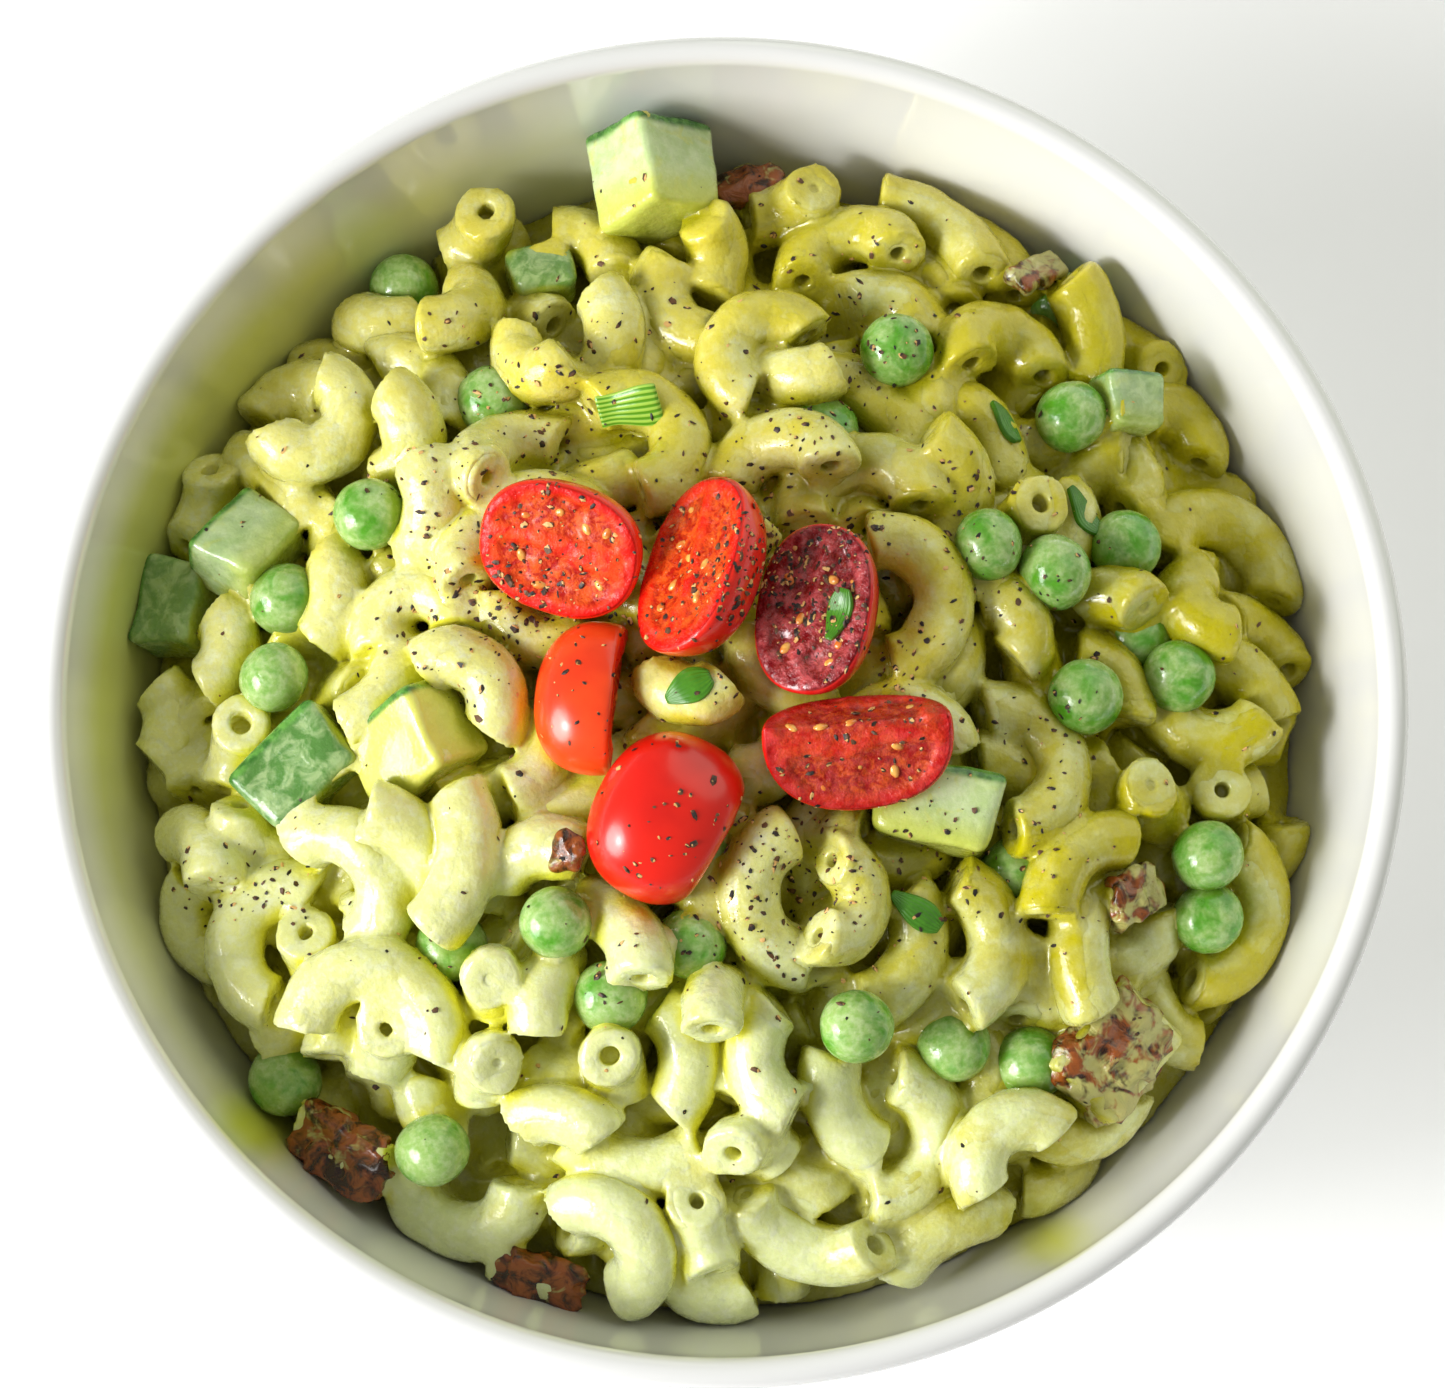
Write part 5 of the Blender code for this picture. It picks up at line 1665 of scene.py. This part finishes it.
class SALAD_OT_peas(bpy.types.Operator):
    """Build the peas, each a little dented"""

    bl_idname = "salad.peas"
    bl_label = "Peas"

    def execute(self, context):
        rng = random.Random(PEA_SEED)
        shapes = []
        unit, faces = ball_shape(4)
        for piece in pieces_of("pea"):
            turn = turn_about("Z", rng.uniform(0, 360)) @ turn_about("X", rng.uniform(0, 360))
            size = piece.radius * rng.uniform(0.98, 1.06)
            dent = np.array((0, 0, 1.0))
            pull = 1 - 0.05 * np.exp(-((unit - dent) ** 2).sum(axis=1) / 0.25)
            wrinkle = 0.10 * rough(unit * 4.2 + 10 * len(shapes), 3.0, 4)
            wrinkle += 0.05 * rough(unit * 4.2 + 10 * len(shapes), 1.1, 5)
            points = unit * (size * pull + wrinkle)[:, None] * (1.0, 1.0, 0.95)
            shapes.append((points @ turn.T + piece.place, faces))
        mark_open(heap_piece("peas", shapes, pea_finish()))
        return {"FINISHED"}


def block_shape(edges, corner, cuts):
    """Points and faces of a block with rounded edges, from a finely cut cube."""
    bm = bmesh.new()
    bmesh.ops.create_cube(bm, size=2.0)
    bmesh.ops.subdivide_edges(bm, edges=bm.edges, cuts=cuts, use_grid_fill=True)
    unit = np.array([v.co for v in bm.verts])
    faces = [tuple(v.index for v in face.verts) for face in bm.faces]
    bm.free()
    full = np.array(edges) / 2
    inner = np.clip(unit * full, -(full - corner), full - corner)
    away = unit * full - inner
    length = np.maximum(np.linalg.norm(away, axis=1), 1e-9)
    return unit, inner + away / length[:, None] * corner, faces


class SALAD_OT_cucumber(bpy.types.Operator):
    """Build the cucumber cubes with their strips of skin"""

    bl_idname = "salad.cucumber"
    bl_label = "Cucumber"

    def execute(self, context):
        shapes = []
        skin = []
        for piece in pieces_of("cucumber"):
            unit, points, faces = block_shape(piece.size, 1.2, 15)
            seed = CUCUMBER_NOISE + len(shapes)
            taper = 1 + 0.05 * unit[:, [1, 2, 0]] * np.array((1, -1, 1))
            points = points * taper
            points = points + 0.55 * np.stack(
                [rough(points, 5.0, seed + k) for k in (0, 100, 200)], axis=1)
            points *= 1 + 0.012 * rough(points, 1.6, seed)[:, None]
            skin.append(unit[:, 1] * 0.5 + 0.5)
            shapes.append((piece.world(points), faces))
        mark_open(heap_piece("cucumber", shapes, cucumber_finish(), skin=skin,
                             green=CUCUMBER_GREEN))
        return {"FINISHED"}


class SALAD_OT_dried(bpy.types.Operator):
    """Build the wrinkled pieces of browned dried tomato"""

    bl_idname = "salad.dried"
    bl_label = "Dried tomato"

    def execute(self, context):
        shapes = []
        pale = []
        for piece in pieces_of("dried"):
            length, width, _ = piece.size
            _, points, faces = block_shape((length, width, width * 0.6), width * 0.25, 23)
            seed = DRIED_NOISE + len(shapes)
            fold = np.abs(rough(points, 3.4, seed)) + 0.5 * np.abs(rough(points, 1.6, seed + 1))
            pale.append(float(piece.place[0] > SMEARED_FROM))
            away = points / np.maximum(np.linalg.norm(points, axis=1), 1e-6)[:, None]
            points = points + away * (2.2 * (0.35 - fold) * min(1.0, width / 8))[:, None]
            shapes.append((piece.world(points), faces))
        mark_open(heap_piece("dried_tomato", shapes, dried_finish(), pale=pale))
        return {"FINISHED"}


def top_of_heap(pieces, x, y):
    """Height of the highest piece over a place."""
    best = float(core_height(x, y))
    for piece in pieces:
        for ball in piece.world(piece.balls):
            aside = (ball[0] - x) ** 2 + (ball[1] - y) ** 2
            if aside < piece.radius**2:
                best = max(best, ball[2] + math.sqrt(piece.radius**2 - aside))
    return best


def tomato_top(tomatoes, x, y):
    """Height and turn of the cut tomato under a place, or none."""
    for place, turn, axes, _ in tomatoes:
        slope = turn[:, 2]
        height = place[2] - (slope[0] * (x - place[0]) + slope[1] * (y - place[1])) / slope[2]
        local = (np.array((x, y, height)) - place) @ turn
        if skin_depth(local, axes) < 0:
            return height, turn
    return None


def resting_plane(pieces, x, y, reach):
    """Height and slope of a flat slice that rests on the highest pieces under it."""
    steps = np.linspace(-reach, reach, 5)
    samples = np.array([(u, v, top_of_heap(pieces, x + u, y + v)) for u in steps for v in steps])
    flat = np.column_stack((samples[:, :2], np.ones(len(samples))))
    fit = np.linalg.lstsq(flat, samples[:, 2], rcond=None)[0]
    over = np.max(samples[:, 2] - flat @ fit)
    normal = Vector((-fit[0], -fit[1], 1.0)).normalized()
    return fit[2] + 0.7 * over, np.array(Vector((0, 0, 1)).rotation_difference(normal).to_matrix())


class SALAD_OT_scallion(bpy.types.Operator):
    """Build the thin striped slices of scallion"""

    bl_idname = "salad.scallion"
    bl_label = "Scallion"

    def execute(self, context):
        pieces, _, tomatoes = settled_salad()
        shapes = []
        across = []
        for number, (x, y, length, width, face) in enumerate(SCALLIONS + (TOMATO_LEAF,)):
            if number < len(SCALLIONS):
                plan = plan_place(x, y, 0)
                height, turn = resting_plane(pieces, *plan, width / 2)
            else:
                plan = plan_place(x, y, TOMATO_LEAF_LIFT)
                height, turn = tomato_top(tomatoes, *plan)
            middle = np.array((*plan, height + LEAF_CLEAR))
            turn = turn @ turn_about("Z", face)
            unit, points, faces = block_shape((length, width, SCALLION_THICKNESS), 0.25, 17)
            along = points[:, 0] / length
            bow = 0.4 * np.sin(along * 4.5 + number) - 0.5 * (points[:, 1] / width) ** 2
            points[:, 2] += bow + 0.15 * rough(points, 2.5, LEAF_NOISE + number)
            points[:, 1] *= 1 + 0.15 * np.sin(along * 5) - (number > 0) * 2.6 * along**2
            across.append(unit[:, 1] + 3 * number)
            shapes.append((points @ turn.T + middle, faces))
        heap_piece("scallion", shapes, scallion_finish(), across=across,
                   dark=[float(number > 0) for number in range(len(shapes))])
        return {"FINISHED"}


def tomato_shape(tomato, seed):
    """A cut tomato: its points, its faces and the marks of its skin and its pulp."""
    place, turn, axes, cut = tomato
    reach = axes.max() + 1.0
    line = np.arange(-reach, reach, TOMATO_STEP)
    grid = np.stack(np.meshgrid(line, line, line, indexing="ij"), axis=-1)
    skin = skin_depth(grid, axes) - 0.10 * rough(grid, 6.0, seed)
    pulp = pulp_share(grid, axes, seed)
    sunk = PULP_SINK * pulp - 0.30 * rough(grid, 1.7, seed + 1) * (skin < -0.6)
    face = grid[..., 2] + sunk
    side = grid[..., 1] - cut + sunk
    flat = np.maximum(face, side) if cut < axes[1] else face
    blend = TOMATO_BLEND
    solid = blend * np.logaddexp(skin / blend, flat / blend)
    points, faces = surface_net(solid, np.full(3, -reach), TOMATO_STEP)
    deep = np.clip(-skin_depth(points, axes), 0, 8)
    return points @ turn.T + place, outward(points, faces), deep, pulp_share(points, axes, seed)


def pulp_share(local, axes, seed):
    """Where the soft seed pulp lies inside a tomato, 0 to 1, a wall of flesh between halves."""
    wall = 1.9 + 1.0 * rough(local, 3.6, seed + 2)
    inner = np.clip((-skin_depth(local, axes) - wall) / 0.9, 0, 1)
    core = np.abs(local[..., 1] + 1.6 * rough(local, 5.0, seed + 3))
    return inner * np.clip((core - 0.6) / 0.9, 0, 1)


def tomato_seeds(tomato, seed):
    """Where seeds lie in the pulp of the cut faces: place and turn of each."""
    place, turn, axes, cut = tomato
    rng = random.Random(seed)
    found = []
    for _ in range(PIP_TRIES):
        x = rng.uniform(-1, 1) * axes[0]
        if cut < 5 and rng.random() < 0.45:
            spot, tip = np.array((x, cut, -rng.random() * axes[2])), turn_about("X", -90)
        else:
            spot, tip = np.array((x, rng.uniform(-axes[1], min(cut, axes[1])), 0.0)), np.eye(3)
        if pulp_share(spot, axes, seed) < 0.6:
            continue
        if any(np.linalg.norm(spot - other) < PIP_SPACING for other, _ in found):
            continue
        spin = tip @ turn_about("Z", rng.uniform(0, 360)) @ turn_about("Y", rng.uniform(-25, 25))
        found.append((spot, spin))
    return [(turn @ (spot + tip @ np.array((0, 0, -PIP_DEPTH))) + place, turn @ tip)
            for spot, tip in found[:PIP_COUNT]]


class SALAD_OT_tomatoes(bpy.types.Operator):
    """Build the cut cherry tomatoes and their seeds"""

    bl_idname = "salad.tomatoes"
    bl_label = "Cherry tomatoes"

    def execute(self, context):
        ball, ball_faces = ball_shape(2)
        seed_shapes = []
        for number, tomato in enumerate(settled_salad()[2], start=1):
            points, faces, deep, pulp = tomato_shape(tomato, TOMATO_NOISE + number)
            half = make_piece(f"tomato_half_{number}", points, faces, tomato_finish())
            for label, values in (("deep", deep), ("pulp", pulp),
                                  ("orange", TOMATO_ORANGE[number - 1]),
                                  ("dark", TOMATO_DARK[number - 1]),
                                  ("wet", TOMATO_WET[number - 1])):
                mark(half, label, np.broadcast_to(values, len(points)))
            finish_piece(half, "cherry_tomato", f"tomato_{number}")
            for place, turn in tomato_seeds(tomato, TOMATO_NOISE + number):
                pip = ball * PIP_SIZE * (1 + 0.2 * ball[:, :1])
                seed_shapes.append((pip @ turn.T + place, ball_faces))
        points, faces = join_shapes(seed_shapes)
        seeds = make_piece("tomato_seeds", points, faces, seed_finish())
        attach(seeds, "root")
        return {"FINISHED"}


def group_input(tree, name, kind, value=None):
    """Add a named input to a Geometry Nodes tree."""
    socket = tree.interface.new_socket(name, in_out="INPUT", socket_type=kind)
    if value is not None:
        socket.default_value = value
    return socket.identifier


def pepper_tree():
    """Flakes dropped straight down onto a surface, each turned and sized at random."""
    tree = bpy.data.node_groups.new("Ground pepper", "GeometryNodeTree")
    tree.is_modifier = True
    ids = {
        "area": group_input(tree, "Area", "NodeSocketGeometry"),
        "surface": group_input(tree, "Surface", "NodeSocketObject"),
        "density": group_input(tree, "Density", "NodeSocketFloat", 100000.0),
        "size": group_input(tree, "Size", "NodeSocketFloat", MM),
        "seed": group_input(tree, "Seed", "NodeSocketInt", 1),
        "material": group_input(tree, "Material", "NodeSocketMaterial"),
    }
    tree.interface.new_socket("Flakes", in_out="OUTPUT", socket_type="NodeSocketGeometry")

    def node(kind, settings=None, sockets=None):
        made = tree.nodes.new(kind)
        for name, value in (settings or {}).items():
            setattr(made, name, value)
        for name, value in (sockets or {}).items():
            if isinstance(value, bpy.types.NodeSocket):
                tree.links.new(value, made.inputs[name])
            else:
                made.inputs[name].default_value = value
        return made

    given = node("NodeGroupInput").outputs
    amount = node("GeometryNodeInputNamedAttribute", {"data_type": "FLOAT"},
                  {"Name": "amount"}).outputs["Attribute"]
    density = node("ShaderNodeMath", {"operation": "MULTIPLY"},
                   {0: amount, 1: given["Density"]}).outputs[0]
    spots = node("GeometryNodeDistributePointsOnFaces", {}, {
        "Mesh": given["Area"], "Density": density, "Seed": given["Seed"]}).outputs["Points"]
    target = node("GeometryNodeObjectInfo", {}, {"Object": given["Surface"]})
    ray = node("GeometryNodeRaycast", {"data_type": "FLOAT"}, {
        "Target Geometry": target.outputs["Geometry"], "Ray Direction": (0.0, DROP_LEAN, -1.0),
        "Ray Length": DROP_REACH})
    kept = node("GeometryNodeCaptureAttribute")
    kept.capture_items.new("VECTOR", "Place")
    kept.capture_items.new("VECTOR", "Facing")
    kept.capture_items.new("BOOLEAN", "Hit")
    tree.links.new(spots, kept.inputs["Geometry"])
    tree.links.new(ray.outputs["Hit Position"], kept.inputs["Place"])
    tree.links.new(ray.outputs["Hit Normal"], kept.inputs["Facing"])
    tree.links.new(ray.outputs["Is Hit"], kept.inputs["Hit"])
    missed = node("FunctionNodeBooleanMath", {"operation": "NOT"}, {0: kept.outputs["Hit"]})
    landed = node("GeometryNodeDeleteGeometry", {"domain": "POINT"}, {
        "Geometry": kept.outputs["Geometry"], "Selection": missed.outputs[0]})
    moved = node("GeometryNodeSetPosition", {}, {
        "Geometry": landed.outputs[0], "Position": kept.outputs["Place"]})
    facing = node("FunctionNodeAlignRotationToVector", {"axis": "Z"},
                  {"Vector": kept.outputs["Facing"]})
    spin = node("FunctionNodeRandomValue", {"data_type": "FLOAT_VECTOR"}, {
        "Min": (-FLAKE_TILT, -FLAKE_TILT, 0.0), "Max": (FLAKE_TILT, FLAKE_TILT, 6.283),
        "Seed": given["Seed"]})
    turn = node("FunctionNodeRotateRotation", {"rotation_space": "LOCAL"}, {
        "Rotation": facing.outputs[0],
        "Rotate By": node("FunctionNodeEulerToRotation", {},
                          {0: spin.outputs[0]}).outputs[0]})
    lengths = node("FunctionNodeRandomValue", {"data_type": "FLOAT_VECTOR"}, {
        "Min": FLAKE_LEAST, "Max": FLAKE_MOST, "Seed": given["Seed"]})
    grade = node("FunctionNodeRandomValue", {"data_type": "FLOAT"}, {
        "Min": FLAKE_GRADES[0], "Max": FLAKE_GRADES[1], "Seed": given["Seed"]})
    size = node("ShaderNodeMath", {"operation": "MULTIPLY"}, {
        0: grade.outputs[1], 1: given["Size"]})
    scale = node("ShaderNodeVectorMath", {"operation": "SCALE"}, {
        0: lengths.outputs[0], "Scale": size.outputs[0]})
    flake = node("GeometryNodeMeshIcoSphere", {}, {"Radius": 1.0, "Subdivisions": 1})
    jag = node("FunctionNodeRandomValue", {"data_type": "FLOAT_VECTOR"}, {
        "Min": (-FLAKE_JAG,) * 3, "Max": (FLAKE_JAG,) * 3, "Seed": 3})
    chip = node("GeometryNodeSetPosition", {}, {
        "Geometry": flake.outputs[0], "Offset": jag.outputs[0]})
    placed = node("GeometryNodeInstanceOnPoints", {}, {
        "Points": moved.outputs[0], "Instance": chip.outputs[0], "Rotation": turn.outputs[0],
        "Scale": scale.outputs[0]})
    real = node("GeometryNodeRealizeInstances", {}, {"Geometry": placed.outputs[0]})
    coloured = node("GeometryNodeSetMaterial", {}, {
        "Geometry": real.outputs[0], "Material": given["Material"]})
    node("NodeGroupOutput", {}, {0: coloured.outputs[0]})
    return tree, ids


class SALAD_OT_pepper(bpy.types.Operator):
    """Scatter ground pepper over the salad, thickest round the tomatoes"""

    bl_idname = "salad.pepper"
    bl_label = "Ground pepper"

    def execute(self, context):
        sizes = context.scene.salad_sizes
        shapes = []
        for thing in bpy.data.objects:
            if thing.type == "MESH" and "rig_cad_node" not in thing and thing.name not in (
                    "glazed_bowl", "salad_core"):
                points, _ = mesh_points(thing.data)
                shapes.append((points, [tuple(p.vertices) for p in thing.data.polygons]))
        points, faces = join_shapes(shapes)
        surface = make_piece("landing", points, faces, pepper_finish())
        count = DROP_COUNT
        line = (np.arange(count + 1) - count / 2) * DROP_STEP
        base = [(x, y - DROP_SHIFT, DROP_HEIGHT) for y in line for x in line]
        quads = [(j * (count + 1) + i, j * (count + 1) + i + 1, (j + 1) * (count + 1) + i + 1,
                  (j + 1) * (count + 1) + i) for j in range(count) for i in range(count)]
        area = make_piece("pepper", base, quads, pepper_finish())
        base = np.array(base)
        x, y = base[:, 0], base[:, 1] + DROP_SEEN
        amount = DUSTING * (np.hypot(x, y) < DUSTED_RADIUS)
        for spot_x, spot_y, spread, weight in PEPPER_SPOTS:
            away = np.hypot(x - spot_x, y - spot_y)
            amount = amount + weight * np.exp(-(away / spread) ** 2)
        clumps = np.clip(0.6 + 1.3 * rough(base, 6.0, 6), 0.08, 3)
        mark(area, "amount", amount * clumps)
        tree, ids = pepper_tree()
        rain = area.modifiers.new("Ground pepper", "NODES")
        rain.node_group = tree
        rain[ids["surface"]] = surface
        rain[ids["density"]] = sizes.pepper_density
        rain[ids["size"]] = sizes.pepper_size
        rain[ids["seed"]] = sizes.pepper_seed
        rain[ids["material"]] = pepper_finish()
        graph = context.evaluated_depsgraph_get()
        area.data = bpy.data.meshes.new_from_object(area.evaluated_get(graph))
        area.modifiers.clear()
        bpy.data.objects.remove(surface)
        if len(area.data.polygons) == 0:
            raise RuntimeError("no pepper landed on the salad")
        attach(area, "root")
        return {"FINISHED"}


class SALAD_OT_stage(bpy.types.Operator):
    """Set the floor, the soft lights and the camera"""

    bl_idname = "salad.stage"
    bl_label = "Stage"

    def execute(self, context):
        scene = context.scene
        points = [(x * FLOOR_REACH, y * FLOOR_REACH, -FLOOR_DROP)
                  for x, y in ((-1, -1), (1, -1), (1, 1), (-1, 1))]
        floor = make_piece("floor", points, [(0, 1, 2, 3)], floor_finish())
        target = Vector((0, 0, BOWL_HEIGHT)) * MM
        for name, away, size, power, tint in LAMPS:
            lamp = bpy.data.lights.new(name, "AREA")
            lamp.shape = "DISK"
            lamp.size = size
            lamp.energy = power
            lamp.color = tint
            thing = bpy.data.objects.new(name, lamp)
            thing.location = target + Vector(away)
            thing.rotation_euler = (-Vector(away)).to_track_quat("-Z", "Y").to_euler()
            scene.collection.objects.link(thing)
        world = bpy.data.worlds.new("studio")
        world.use_nodes = True
        back = world.node_tree.nodes["Background"]
        back.inputs["Color"].default_value = WORLD_TINT
        back.inputs["Strength"].default_value = WORLD_LIGHT
        scene.world = world
        lens = bpy.data.cameras.new("camera")
        lens.sensor_width = SENSOR_WIDTH
        lens.lens = RIM_PIXELS / RIM_RADIUS * SIGHT_RANGE * SENSOR_WIDTH / PHOTO_WIDTH
        lens.clip_start = 0.01
        camera = bpy.data.objects.new("camera", lens)
        away = Vector((0, -math.sin(SIGHT_TILT), math.cos(SIGHT_TILT)))
        camera.location = target + away * SIGHT_RANGE * MM
        camera.rotation_euler = (-away).to_track_quat("-Z", "Y").to_euler()
        scene.collection.objects.link(camera)
        scene.camera = camera
        scene.view_settings.view_transform = "Standard"
        return {"FINISHED"}


class SALAD_PT_panel(bpy.types.Panel):
    """The salad's pieces and settings"""

    bl_idname = "SALAD_PT_panel"
    bl_label = "Pasta salad bowl"
    bl_space_type = "VIEW_3D"
    bl_region_type = "UI"
    bl_category = "Salad"

    def draw(self, context):
        for group in (context.scene.salad_sizes, context.scene.salad_colours):
            for name in group.__annotations__:
                self.layout.prop(group, name)
        for step in STEPS:
            self.layout.operator(step.bl_idname)


STEPS = (
    SALAD_OT_bowl, SALAD_OT_dressing, SALAD_OT_macaroni, SALAD_OT_peas, SALAD_OT_cucumber,
    SALAD_OT_dried, SALAD_OT_scallion, SALAD_OT_tomatoes, SALAD_OT_pepper, SALAD_OT_stage,
)
CLASSES = (SaladSizes, SaladColours, *STEPS, SALAD_PT_panel)


def register():
    for thing in CLASSES:
        bpy.utils.register_class(thing)
    bpy.types.Scene.salad_sizes = PointerProperty(type=SaladSizes)
    bpy.types.Scene.salad_colours = PointerProperty(type=SaladColours)


def unregister():
    del bpy.types.Scene.salad_colours
    del bpy.types.Scene.salad_sizes
    for thing in reversed(CLASSES):
        bpy.utils.unregister_class(thing)


def main():
    register()
    bpy.ops.salad.bowl()
    bpy.ops.salad.dressing()
    bpy.ops.salad.macaroni()
    bpy.ops.salad.peas()
    bpy.ops.salad.cucumber()
    bpy.ops.salad.dried()
    bpy.ops.salad.scallion()
    bpy.ops.salad.tomatoes()
    bpy.ops.salad.pepper()
    bpy.ops.salad.stage()


if __name__ == "__main__":
    main()
